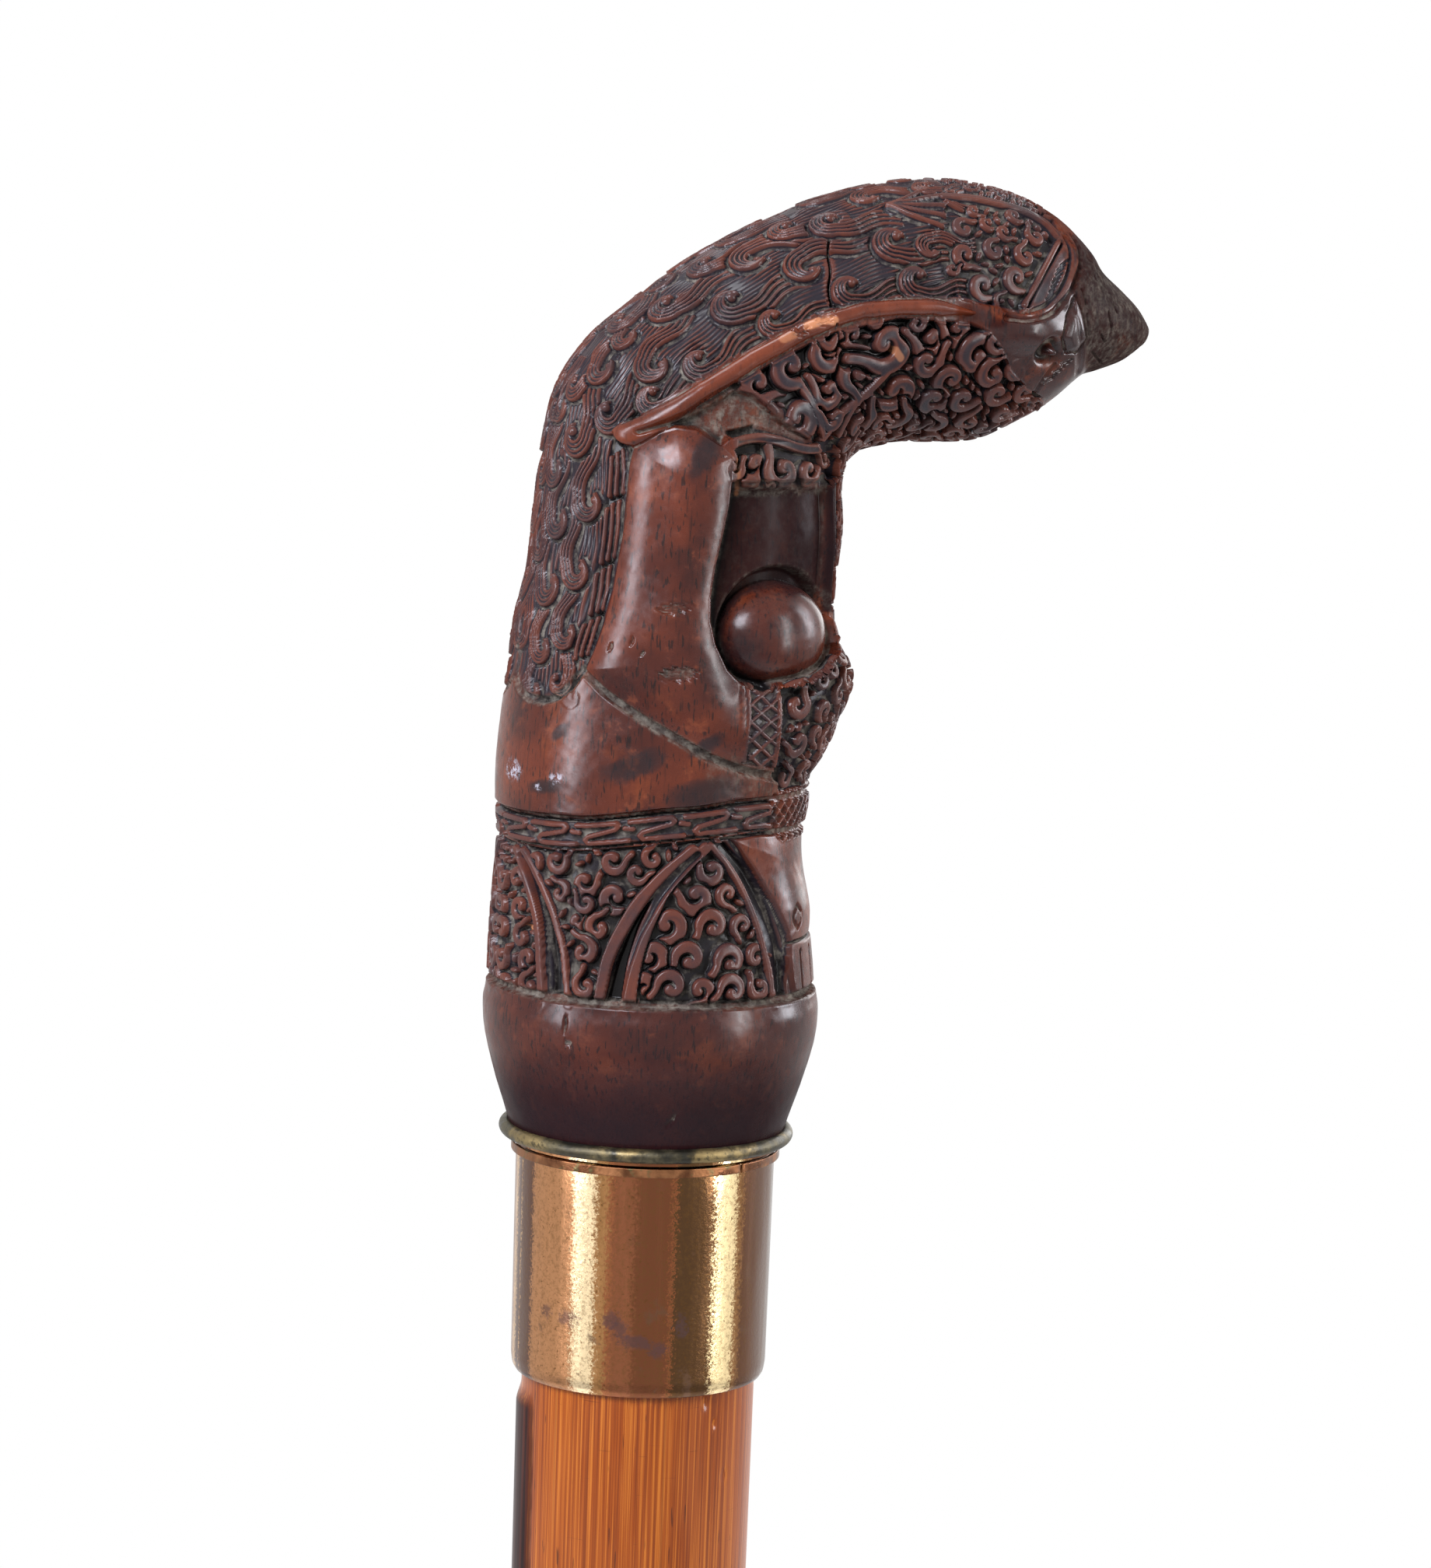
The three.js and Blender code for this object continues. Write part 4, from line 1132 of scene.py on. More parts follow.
def cut_field(outline, depth, edge=0.5):
    """Sinks the ground inside an outline of the side view."""
    inner = softly(outside(near_side, outline), edge)
    lay_over("ground", inner * depth)
    return inner


def free_spots(field, taken, gap, limit, seed):
    """Points of a field that are farthest from what is taken, one after another."""
    dice = np.random.default_rng(seed)
    crowd = np.where(field, spread(taken.astype(float), round(gap / 2 / carving_pitch)), 9)
    crowd = crowd + dice.uniform(0, 0.02, crowd.shape)
    spots = []
    while len(spots) < limit:
        spot = np.unravel_index(int(np.argmin(crowd)), crowd.shape)
        if crowd[spot] > 0.12:
            break
        spots.append((int(spot[0]), int(spot[1])))
        window = window_of(form[spot] - gap, form[spot] + gap)
        near_by = np.linalg.norm(near_points[window] - form[spot], axis=-1) < gap
        crowd[window] += near_by * 9
    return spots


lock_height = 0.9
lock_strands = 4
lock_spacing = 0.205
lock_tail = 2.9
lock_bud = 0.27


def lock(at, way, hand, size):
    """One lock of hair: strands that run down together and hook round a bud."""
    patch = Patch(at, way, hand, size, lock_tail + 1.2)
    places = patch.places
    height = np.zeros(places.shape[:-1])
    nearest = np.full(places.shape[:-1], 9.0)
    for number in range(lock_strands):
        reach = 0.99 - lock_spacing * number
        turned = np.radians(np.linspace(0, 232 - 22 * number, 16))
        radius = reach + (0.42 - reach) * ease(turned, 0.9, 4.2)
        hook = np.stack([-np.sin(turned) * radius, -np.cos(turned) * radius], -1)
        run = np.linspace(lock_tail, 0, 14)[:-1]
        sway = 0.08 * (run / lock_tail) ** 2 - 0.17 * np.sin(2.3 * run)
        tail = np.stack([run, -reach + 0.1 * number * run / lock_tail + sway], -1)
        strand = np.concatenate([tail, hook])
        gap, along = to_path(places, strand)
        fade = 0.5 + 0.5 * ease(along, 0.05, 0.45)
        height = np.maximum(height, np.clip(1 - (gap / 0.118) ** 2, 0, 1) ** 0.7 * fade)
        nearest = np.minimum(nearest, gap)
    bud_gap = np.hypot(places[..., 0] - 0.06, places[..., 1] - 0.3)
    height = np.maximum(height, 1.06 * half_round(bud_gap, lock_bud))
    nearest = np.minimum(nearest, np.maximum(bud_gap - lock_bud + 0.1, 0))
    hold = 1 - ease(places[..., 0], 0.55 * lock_tail, lock_tail)
    clear = 1 - (1 - ease(nearest, 0.13, 0.3)) * hold
    patch.lay_on_top("raised", height * lock_height, clear)


scroll_sweep = 270


def scroll(at, way, hand, size, tail, depth):
    """One scroll: a ridge that leaves along its tail and winds in to a bud."""
    patch = Patch(at, way, hand, size, tail + 1.4)
    places = patch.places
    share = np.linspace(0, 1, 22)
    turned = np.radians(-90 - scroll_sweep * (1 - share))
    radius = 0.24 + 0.54 * share ** 0.62
    ring = np.stack([np.cos(turned) * radius, np.sin(turned) * radius], -1)
    run = np.linspace(0, tail, 7)[1:]
    leave = np.stack([run, -0.78 - 0.3 * (run / max(tail, 0.1)) ** 2], -1)
    gap, along = to_path(places, np.concatenate([ring, leave]))
    width = 0.14 + 0.14 * np.sin(np.clip(along * 1.2, 0, 1) * math.pi)
    ridge = 1 - ease(gap, width, width + 0.14)
    bud_gap = np.hypot(places[..., 0] - ring[0, 0] * 0.8, places[..., 1] - ring[0, 1] * 0.8)
    bud = 1 - ease(bud_gap, 0.26, 0.4)
    crown = 0.86 + 0.14 * half_round(np.minimum(gap, bud_gap), 0.34)
    clear = ease(gap, width + 0.1, width + 0.32)
    patch.lay_on_top("raised", np.maximum(ridge, bud * 0.96) * crown * depth, clear)


def lay_scrolls(scrolls, scale, tail, depth, least=0.0):
    """Scrolls by their places, headings, hands and radii in the photograph."""
    for pixel, heading, hand, radius in scrolls:
        spot = seen_at(pixel)
        size = max(radius * photo_scale * scale, least)
        scroll(spot, shown_way(spot, heading), hand, size, tail, depth)


def fill_with_scrolls(spots, degrees, size, tail, depth):
    """Scrolls at free spots, of one hand and then the other, turned from the handle's run."""
    for number, spot in enumerate(spots):
        hand = 1 if number % 2 else -1
        scroll(spot, up_handle(spot, degrees * hand), hand, size, tail, depth)


def leaf(at, way, size, depth):
    """A small pointed leaf, such as fills the corners between scrolls."""
    patch = Patch(at, way, 1, size, 1.5)
    gap = np.hypot(patch.places[..., 0] * 0.62, patch.places[..., 1] * 1.25)
    patch.lay("raised", (1 - ease(gap, 0.35, 0.75)) * depth)


def fill_with_leaves(field, size, depth, limit, seed):
    spots = free_spots(field, layers["raised"] > 0.3 * depth, 1.9 * size, limit, seed)
    dice = np.random.default_rng(seed)
    for spot in spots:
        leaf(spot, up_handle(spot, dice.uniform(0, 360)), size * dice.uniform(0.85, 1.15), depth * 0.85)


# Mantle of hair: locks in overlapping rows from the brow down the back. Each entry gives where
# the photograph shows the hook, the way its tail runs, its hand and its size.
hair_depth = 0.85
hair_field = cut_field(hair_outline, hair_depth)
streak_pitch = 0.66
streak_run = around[near][None] * grip_half_depth / streak_pitch + 0.4 * uneven(near_points, 9, 1)
streaks = 0.5 + 0.5 * np.cos(2 * np.pi * streak_run)
streak_height = 0.1 + (0.3 + 0.16 * uneven(near_points, 4, 13)) * streaks
lay_over("raised", hair_field * streak_height * 0.75)
hair_locks = [
    ((776, 469), 60, -1, 2.0), ((842, 466), 58, -1, 2.1), ((902, 461), 42, 1, 2.0),
    ((839, 509), 30, 1, 1.9), ((781, 528), 66, 1, 2.1), ((737, 556), 82, 1, 2.3),
    ((740, 490), 66, 1, 1.9), ((756, 642), 82, -1, 2.0), ((716, 664), 82, -1, 2.1),
    ((740, 731), 88, -1, 2.0), ((704, 750), 86, -1, 2.1), ((726, 812), 78, -1, 1.8),
    ((693, 830), 86, -1, 1.7), ((716, 874), 84, 1, 1.5), ((858, 388), 40, 1, 2.3),
    ((943, 386), 33, 1, 2.4), ((968, 328), 18, -1, 2.4), ((1039, 340), 22, -1, 2.3),
    ((997, 409), 25, 1, 1.8), ((905, 336), 33, 1, 2.1), ((1068, 281), 16, 1, 2.2),
    ((1152, 308), 4, 1, 2.3), ((1096, 369), 14, 1, 2.0), ((1183, 360), 2, 1, 2.0),
    ((800, 408), 50, 1, 2.1), ((855, 352), 42, -1, 2.1), ((1010, 290), 24, 1, 2.0),
    ((1120, 250), 10, -1, 1.9), ((712, 600), 84, -1, 1.9), ((684, 885), 88, -1, 1.3),
    ((735, 895), 75, -1, 1.2), ((806, 430), 55, -1, 1.7), ((940, 302), 28, 1, 1.8),
    ((1200, 318), 0, -1, 1.6), ((690, 700), 86, 1, 1.6), ((720, 520), 76, -1, 1.7),
]
all_locks = []
combed = layers["ground"] < 0.5 * hair_depth
for pixel, heading, hand, size in hair_locks:
    spot = seen_at(pixel)
    all_locks.append((spot, shown_way(spot, heading), hand, size * 1.12))
    for on in (0, 1.4):
        middle = form[spot] + all_locks[-1][1] * on * size
        combed |= np.linalg.norm(near_points - middle, axis=-1) < 0.95 * size
# Loose locks fill what is left between them.
hair_inside = (hair_field > 0.5) & (outside(near_side, hair_outline) < -1.3)
loose_size = 2.0
for number, spot in enumerate(free_spots(hair_inside, combed, 2.0 * loose_size, 150, 2)):
    hand = 1 if number % 2 else -1
    all_locks.append((spot, up_handle(spot, 12 * hand), hand, loose_size))
for spot, way, hand, size in sorted(all_locks, key=lambda entry: entry[0][0]):
    lock(spot, way, hand, size)
back_line = 1 - 0.5 * hair_field * (1 - ease(np.abs(near_points[..., 1]), 0.5, 5))
layers["ground"] *= back_line
layers["raised"] *= back_line

# Cord along the arm's edge, three strands wide and cut in lengths.
cord_edge = [
    (806, 575), (806, 600), (800, 640), (797, 680), (790, 720), (783, 760), (772, 800), (758, 835),
]
cord_breaks = [(578, 638), (644, 722), (728, 788), (794, 846)]
cord_bed = traced([(x - 15, y) for x, y in cord_edge])
stroke("scored", cord_bed, 0.95, 0.3, slope=0.3)
clear_along(cord_bed, 0.9, 1.2)
cord_across, cord_down = np.transpose(cord_edge)
for top, foot in cord_breaks:
    for strand in range(3):
        heights = np.linspace(top + 5 * strand, foot - 3 * (2 - strand), 7)
        aside = 6 + 8.5 * strand - 0.05 * (heights - top)
        strand_path = traced(list(zip(np.interp(heights, cord_down, cord_across) - aside, heights)))
        stroke("raised", strand_path, 0.1, 1.1, slope=0.22, round_top=True)

# Skirt: pointed panels full of scrolls between plain borders, with a dark channel round each.
skirt_depth = 1.15
skirt_outline = [
    (-24, 16.9), (24, 16.9), (24, 33.9), (5.6, 34.0), (-1.3, 33.5), (-5.3, 33.1), (-8.8, 32.6),
    (-12.1, 32.0), (-15, 31.6), (-24, 31.5),
]
skirt_field = cut_field(skirt_outline, skirt_depth, edge=0.4)
skirt_scrolls = [
    ((714, 1106), 90, 1, 13), ((751, 1134), 88, 1, 14), ((787, 1108), 75, 1, 13),
    ((820, 1124), 60, 1, 9), ((840, 1104), 20, -1, 8), ((717, 1147), 178, 1, 11),
    ((789, 1154), 15, 1, 15), ((742, 1181), 172, 1, 13), ((767, 1192), 8, -1, 13),
    ((747, 1223), 174, 1, 14), ((750, 1268), 40, -1, 13), ((752, 1160), 80, -1, 8),
    ((684, 1108), 150, -1, 8), ((916, 1119), 88, -1, 14), ((896, 1154), 104, -1, 17),
    ((937, 1150), -8, 1, 12), ((860, 1191), 182, -1, 17), ((916, 1191), -88, 1, 16),
    ((957, 1190), -50, 1, 12), ((838, 1232), 188, -1, 16), ((887, 1232), -88, 1, 16),
    ((940, 1236), -92, 1, 16), ((974, 1230), -60, -1, 12), ((829, 1271), -60, 1, 15),
    ((862, 1269), -100, 1, 15), ((903, 1275), 178, -1, 14), ((943, 1274), -100, 1, 15),
    ((978, 1268), 80, -1, 13), ((642, 1128), 80, 1, 12), ((661, 1130), -80, -1, 10),
    ((640, 1160), 95, -1, 13), ((664, 1168), 10, 1, 12), ((641, 1194), -90, 1, 13),
    ((667, 1203), 15, -1, 12), ((642, 1228), 90, 1, 13), ((676, 1234), 10, 1, 13),
    ((644, 1260), 90, -1, 13), ((676, 1266), 10, -1, 13),
]
lay_scrolls(skirt_scrolls, 1.45, tail=0.75, depth=skirt_depth, least=1.3)
# Borders and channels: the line, and half the width at its top and at its foot.
skirt_borders = [
    ([(660, 1087), (674, 1130), (687, 1180), (692, 1230), (694, 1292)], 0.32, 0.42),
    ([(670, 1090), (691, 1130), (712, 1180), (723, 1220), (730, 1292)], 0.3, 0.34),
    ([(892, 1098), (851, 1130), (821, 1160), (796, 1200), (777, 1240), (768, 1292)], 0.75, 0.5),
    ([(908, 1090), (878, 1118), (851, 1150), (829, 1195), (813, 1245), (806, 1292)], 0.5, 0.8),
    ([(916, 1088), (940, 1115), (964, 1160), (979, 1200), (989, 1240), (997, 1292)], 0.28, 0.34),
]
skirt_channels = [
    ([(668, 1100), (685, 1140), (701, 1190), (708, 1235), (712, 1290)], 0.25, 0.8),
    ([(898, 1100), (864, 1131), (837, 1166), (814, 1205), (797, 1250), (787, 1290)], 0.3, 0.8),
    ([(937, 1092), (966, 1125), (992, 1170), (1006, 1212), (1013, 1250), (1017, 1290)], 0.45, 1.5),
]
channel_paths = [(traced(pixels), top, foot) for pixels, top, foot in skirt_channels]
border_paths = [(traced(pixels), top, foot) for pixels, top, foot in skirt_borders]
near_border = np.full((handle_rows, half_columns + 1), 9.0)
for path, top, foot in border_paths:
    window = window_round(path, 1.5)
    gap, along = to_path(near_points[window], path)
    near_border[window] = np.minimum(near_border[window], gap - (top + (foot - top) * along))
layers["raised"] *= np.where(skirt_field > 0, ease(near_border, 0.12, 0.3), 1)
skirt_free = (skirt_field > 0.9) & (near_border > 0.5)
for path, top, foot in channel_paths:
    window = window_round(path, 2.5)
    gap, along = to_path(near_points[window], path)
    width = top + (foot - top) * along
    layers["raised"][window] *= ease(gap, width - 0.1, width + 0.12)
    skirt_free[window] &= gap > width + 0.9
    over_hem = ease(near_points[..., 2][window], hem_height - 0.2, hem_height + 0.2)
    lay_over("scored", 0.75 * over_hem * (1 - ease(gap, width - 0.1, width + 0.3)), window)
leg_outline = [
    (2.9, 33.6), (5.9, 30.2), (8.6, 26.7), (10.6, 23.3), (10.9, 22.3), (24, 22.3), (24, 33.9),
    (8, 34.0),
]
toe_outline = [(10.9, 22.1), (24, 22.1), (24, 16.9), (10.9, 16.9)]
leg_inside = -outside(near_side, leg_outline)
toe_inside = -outside(near_side, toe_outline)
skirt_free &= (leg_inside < -0.3) & (toe_inside < -0.3)
fill_with_leaves(skirt_free, 0.62, skirt_depth, 160, 3)
for path, top, foot in border_paths:
    stroke("raised", path, foot, skirt_depth, slope=0.16, ends=(top / foot, 1))

# Legs and toes at the front of the skirt, with a small leaf cut in the knee.
leg_level = skirt_depth * (1.12 - 0.4 * (1 - np.clip(leg_inside / 3.5, 0, 1)) ** 2)
layers["raised"] = np.where(leg_inside > 0, softly(-leg_inside, 0.3) * leg_level, layers["raised"])
layers["raised"] = np.where(
    toe_inside > 0, softly(-toe_inside, 0.3) * skirt_depth * 0.85, layers["raised"],
)
between_legs = 1 - ease(np.abs(near_points[..., 1]), 0.2, 0.9)
front_part = np.maximum(leg_inside, toe_inside) > -0.5
lay_over("scored", between_legs * front_part * (near_points[..., 0] > 8) * 1.3)
first_toe = half_columns - 22
toe_width = 24  # in columns of the handle
for number in range(5):
    toe_column = form[:, first_toe - toe_width * number]
    toe_path = toe_column[(toe_column[:, 2] > 17.2) & (toe_column[:, 2] < 21.4)][::6]
    if toe_path[0, 0] > 10.9:
        stroke("scored", toe_path, 0.12, 0.6, slope=0.22)
knee_front = traced([(1024, 1163), (1031, 1172), (1031, 1184), (1026, 1193)], 5)
knee_back = traced([(1024, 1163), (1020, 1174), (1021, 1186), (1026, 1193)], 5)
stroke("scored", knee_front, 0.12, 0.35, slope=0.2)
stroke("scored", knee_back, 0.1, 0.3, slope=0.2)

# Neck: deep openwork scrolls under the hood, from the shoulder round to the beak.
neck_depth = 1.5
neck_field = cut_field(neck_outline, neck_depth)
neck_scrolls = [
    ((976, 494), 35, 1, 19), ((1018, 472), 30, 1, 21), ((945, 519), 30, 1, 15),
    ((1028, 541), 150, -1, 25), ((1068, 455), 60, -1, 20), ((1068, 505), 95, -1, 18),
    ((1104, 480), -30, 1, 20), ((1098, 432), 10, 1, 13), ((1142, 446), 150, -1, 27),
    ((1200, 441), 110, -1, 20), ((1233, 426), 100, -1, 17), ((1194, 466), 80, 1, 17),
    ((1259, 458), -20, -1, 23), ((1223, 490), -20, 1, 18), ((1279, 483), 20, -1, 18),
    ((1154, 506), 160, -1, 22), ((1203, 516), 40, 1, 18), ((1240, 516), 30, 1, 16),
    ((1284, 509), 30, 1, 15), ((1246, 545), 20, -1, 15), ((1108, 545), 110, 1, 18),
    ((1155, 541), 150, 1, 17), ((1200, 548), 170, 1, 15), ((1308, 478), 10, -1, 13),
    ((1318, 507), 20, 1, 13), ((1290, 535), 25, 1, 13), ((1075, 540), 100, -1, 14),
    ((1180, 415), 170, 1, 11), ((1130, 412), 10, -1, 10), ((1060, 428), 40, 1, 10),
    ((1285, 440), 20, 1, 13),
]
lay_scrolls(neck_scrolls, 1.35, tail=1.1, depth=neck_depth)
vine_paths = [
    [(1035, 586), (1053, 579), (1075, 543), (1098, 520), (1120, 506)],
    [(1150, 470), (1125, 500), (1100, 520), (1080, 560)], [(1035, 500), (1052, 530), (1060, 560)],
]
for pixels in vine_paths:
    stroke("raised", traced(pixels), 0.34, neck_depth, slope=0.2, ends=(1, 0.8))
neck_free = (neck_field > 0.9) & (outside(near_side, neck_outline) < -0.9)
neck_spots = free_spots(neck_free, layers["raised"] > 0.4, 2.5, 70, 4)
fill_with_scrolls(neck_spots, 75, 1.35, tail=0.6, depth=neck_depth)
fill_with_leaves(neck_free, 0.6, neck_depth, 120, 5)

# Under the arm: a curved ridge from the shoulder to the throat, with scrolls below it.
armpit_depth = 1.2
armpit_outline = [
    (1.3, 75.3), (1.2, 70.2), (14.4, 70.0), (14.6, 74.6), (12.6, 74.4), (10.4, 74.9), (7.8, 75.6),
    (4.0, 76.3), (1.0, 75.6),
]
armpit_field = cut_field(armpit_outline, armpit_depth, edge=0.6)
layers["raised"] *= 1 - armpit_field
armpit_scrolls = [((971, 599), 100, -1, 22), ((1009, 605), 75, -1, 24), ((1044, 606), 80, 1, 17),
                  ((944, 603), 95, 1, 13), ((988, 625), 170, -1, 9), ((1062, 590), 90, -1, 10)]
lay_scrolls(armpit_scrolls, 1.2, tail=0.8, depth=armpit_depth)
armpit_ridge = traced([
    (930, 580), (948, 568), (967, 562), (985, 563), (1003, 567), (1022, 574), (1040, 580), (1054, 578),
])
stroke("raised", armpit_ridge, 0.42, armpit_depth * 1.1, slope=0.25)

# Forehead: small scrolls between the hair and a plain striped crescent over the eye, with a
# pointed leaf where the hair parts and a plain band along the crown.
forehead_depth = 0.85
forehead_field = cut_field(forehead_outline, forehead_depth)
forehead_scrolls = [
    ((1240, 292), -20, -1, 15), ((1270, 285), 30, 1, 12), ((1243, 328), 10, 1, 17),
    ((1281, 320), 0, -1, 15), ((1306, 275), 20, 1, 13), ((1292, 297), 30, 1, 12),
    ((1333, 302), 60, -1, 14), ((1320, 328), 20, -1, 15), ((1310, 358), 10, 1, 18),
    ((1266, 368), 20, 1, 18), ((1226, 345), 90, 1, 9), ((1255, 270), 10, 1, 10),
    ((1222, 243), 10, -1, 8), ((1245, 240), 10, 1, 8), ((1288, 387), 0, -1, 10),
]
lay_scrolls(forehead_scrolls, 1.15, tail=0.7, depth=forehead_depth)
crown_band = traced([(1212, 250), (1256, 253), (1292, 262), (1320, 270), (1348, 286), (1362, 304)])
crescent_edge = traced([
    (1290, 398), (1318, 402), (1346, 394), (1364, 374), (1376, 346), (1378, 318), (1368, 306),
])
crescent_back = traced([(1318, 392), (1330, 370), (1346, 340), (1362, 310)])
plate_edge = [(1324, 394), (1346, 398), (1366, 390), (1381, 369), (1387, 346), (1383, 324), (1370, 308),
              (1358, 328), (1346, 350), (1335, 371)]
brow_plate = softly(outside(near_side, [near_side[seen_at(pixel)] for pixel in plate_edge]), 0.3)
for path, reach in ((crown_band, 0.6), (crescent_edge, 0.5), (crescent_back, 0.5)):
    clear_along(path, reach, reach + 0.25)
stroke("raised", crown_band, 0.4, forehead_depth * 1.05, slope=0.25)
layers["raised"] = layers["raised"] * (1 - brow_plate) + brow_plate * forehead_depth * 0.95
layers["ground"] = layers["ground"] * (1 - brow_plate) + brow_plate * forehead_depth
stroke("scored", crescent_edge, 0.1, 0.4, slope=0.2)
stroke("raised", crescent_back, 0.2, forehead_depth * 1.1, slope=0.16)
for number in range(9):
    share = number / 8
    foot = (1346 + 18 * share, 386 - 44 * share)
    stroke("scored", traced([foot, (foot[0] + 10, foot[1] - 9)], 4), 0.07, 0.3, slope=0.12)
leaf_point = (1141, 262)
leaf_ends = [(1192, 241), (1208, 249), (1214, 261), (1216, 275), (1214, 290)]
leaf_body = traced([(1150, 264), (1180, 258), (1205, 256), (1206, 274), (1185, 274)], 6)
clear_along(leaf_body, 1.1, 1.4)
stroke("raised", leaf_body, 0.9, 0.35, slope=0.3)
for end in leaf_ends:
    stroke("raised", traced([leaf_point, end], 6), 0.16, 0.9, slope=0.2)
crescent_groove = [
    (1294, 409), (1322, 413), (1352, 405), (1374, 382), (1388, 350), (1390, 322), (1378, 304),
]
stroke("scored", traced(crescent_groove), 0.1, 0.4, slope=0.4)
crown_edge = [(1212, 250), (1256, 253), (1292, 262), (1320, 270), (1362, 304)]
crown_spots = np.array(sorted(seen_at(pixel) for pixel in crown_edge))
crown_limit = np.interp(np.arange(handle_rows), crown_spots[:, 0], crown_spots[:, 1], left=0, right=0)
crown = ease(crown_limit[:, None] - np.arange(half_columns + 1), 3, 7)  # its carving is shallower
layers["ground"] *= 1 - 0.45 * crown
layers["raised"] *= 1 - 0.45 * crown
forehead_free = (forehead_field > 0.9) & (outside(near_side, forehead_outline) < -0.6)
fill_with_leaves(forehead_free, 0.55, forehead_depth, 60, 6)

# Face: a pointed flap between cheek and beak, scratches on the beak, and whiskers at the jaw.
flap_edge = [(1383, 381), (1372, 408), (1366, 434), (1371, 453), (1385, 452), (1396, 434), (1392, 408)]
flap_inside = -outside(near_side, [near_side[seen_at(pixel)] for pixel in flap_edge])
lay_over("proud", 0.55 * ease(flap_inside, -0.15, 0.9))
lay_over("scored", 0.3 * (1 - ease(np.abs(flap_inside), 0.05, 0.3)) * (flap_inside < 0.1))
for start, end in (((1426, 402), (1430, 424)), ((1404, 452), (1416, 468)), ((1432, 392), (1436, 402)),
                   ((1398, 404), (1401, 430)), ((1416, 430), (1420, 440)), ((1392, 372), (1396, 392))):
    stroke("scored", traced([start, end], 4), 0.05, 0.22, slope=0.14)
jaw_line = traced([(1356, 470), (1340, 490), (1330, 506), (1322, 528)])
stroke("scored", jaw_line, 0.1, 0.4, slope=0.4)
for number in range(6):
    whisker = (1340 + 5 * number, 494 - 5 * number)
    stroke("scored", traced([whisker, (whisker[0] + 14, whisker[1] - 7)], 4), 0.06, 0.3, slope=0.14)

# Belt: a meander of bars between two grooves, with a woven buckle at the front.
belt_depth = 0.6
for line in (belt_top, belt_foot):
    line_gap = to_path(near_side, line)[0]
    lay_over("scored", 0.7 * (1 - ease(line_gap, 0.2, 0.5)))
belt_up = np.interp(near_points[..., 0], *np.transpose(belt_top))
belt_down = np.interp(near_points[..., 0], *np.transpose(belt_foot))
belt_share = (near_points[..., 2] - belt_down) / (belt_up - belt_down)
belt_run = np.cumsum(
    np.linalg.norm(np.diff(near_points, axis=1, prepend=near_points[:, :1]), axis=-1), axis=1,
)
meander_length = 5.9
meander_height = 3.3
long_bar = [
    (0.25, 2.62), (4.6, 2.62), (4.95, 2.3), (4.6, 1.98),
    (1.6, 1.42), (1.25, 1.1), (1.6, 0.7), (5.9, 0.62),
]
meander_bars = [
    long_bar, [(-0.3, 2.0), (0.55, 1.85)], [(5.6, 2.0), (6.45, 1.85)], [(-1.0, 0.66), (0.0, 0.62)],
]
in_belt = (belt_share > 0.03) & (belt_share < 0.97)
belt_places = np.stack([belt_run % meander_length, belt_share * meander_height], -1)
meander = np.zeros_like(belt_share)
for bar in meander_bars:
    meander = np.maximum(meander, 1 - ease(to_path(belt_places, bar)[0], 0.22, 0.34))
lay_over("ground", in_belt * belt_depth)
buckle_outline = [(7.4, 38.2), (24, 38.2), (24, 33.0), (9.5, 33.0), (7.6, 34.5)]
in_buckle = softly(outside(near_side, buckle_outline), 0.3)
lay_over("raised", meander * in_belt * belt_depth * (1 - in_buckle))
weave_pitch = 1.7
weave = np.zeros_like(belt_share)
for slant in (1, -1):
    across = np.abs(((belt_run * slant + near_points[..., 2] * 1.1) % weave_pitch) - weave_pitch / 2)
    weave = np.maximum(weave, 1 - ease(across, 0.12, 0.28))
layers["ground"] *= 1 - in_buckle
lay_over("scored", in_buckle * 0.55 * (1 - weave))

# Sleeve end and hand: a lattice cuff between double lines, and scrolls over the hand.
hand_depth = 1.0
hand_outline = [
    (7.3, 49.4), (9.5, 49.8), (13.0, 51.4), (16.5, 53.2), (24, 53.8), (24, 38.4), (8.5, 38.4),
    (7.2, 41.0),
]
hand_field = cut_field(hand_outline, hand_depth)
cuff_outline = [(3.0, 49.9), (6.9, 49.8), (6.7, 45), (7.0, 40.9), (2.9, 41.6), (3.1, 46)]
cut_field(cuff_outline, 0.45, edge=0.3)
cuff_lines = [
    [(955, 885), (957, 920), (953, 950), (948, 975)], [(963, 887), (965, 920), (961, 950), (956, 978)],
    [(1003, 895), (1004, 930), (1000, 965), (996, 985)],
]
for pixels in cuff_lines:
    stroke("raised", traced(pixels), 0.18, 0.5, slope=0.14)
for number in range(5):
    rise = 880 + 23 * number
    stroke("raised", traced([(964, rise), (1003, rise + 36)], 6), 0.12, 0.45, slope=0.15)
    stroke("raised", traced([(964, rise + 28), (1003, rise - 6)], 6), 0.12, 0.45, slope=0.15)
hand_scrolls = [
    ((1028, 906), 120, 1, 19), ((1052, 872), 60, -1, 17), ((1062, 915), -60, 1, 15),
    ((1028, 957), 100, -1, 18), ((1052, 945), -30, 1, 13), ((1010, 1000), 170, 1, 14),
    ((1036, 990), 0, 1, 13),
]
lay_scrolls(hand_scrolls, 1.15, tail=0.8, depth=hand_depth)
hand_free = (hand_field > 0.9) & (outside(near_side, hand_outline) < -0.8) & (in_buckle < 0.1)
hand_spots = free_spots(hand_free, layers["raised"] > 0.35, 2.6, 40, 7)
fill_with_scrolls(hand_spots, 60, 1.3, tail=0.6, depth=hand_depth)
fill_with_leaves(hand_free, 0.6, hand_depth, 60, 8)

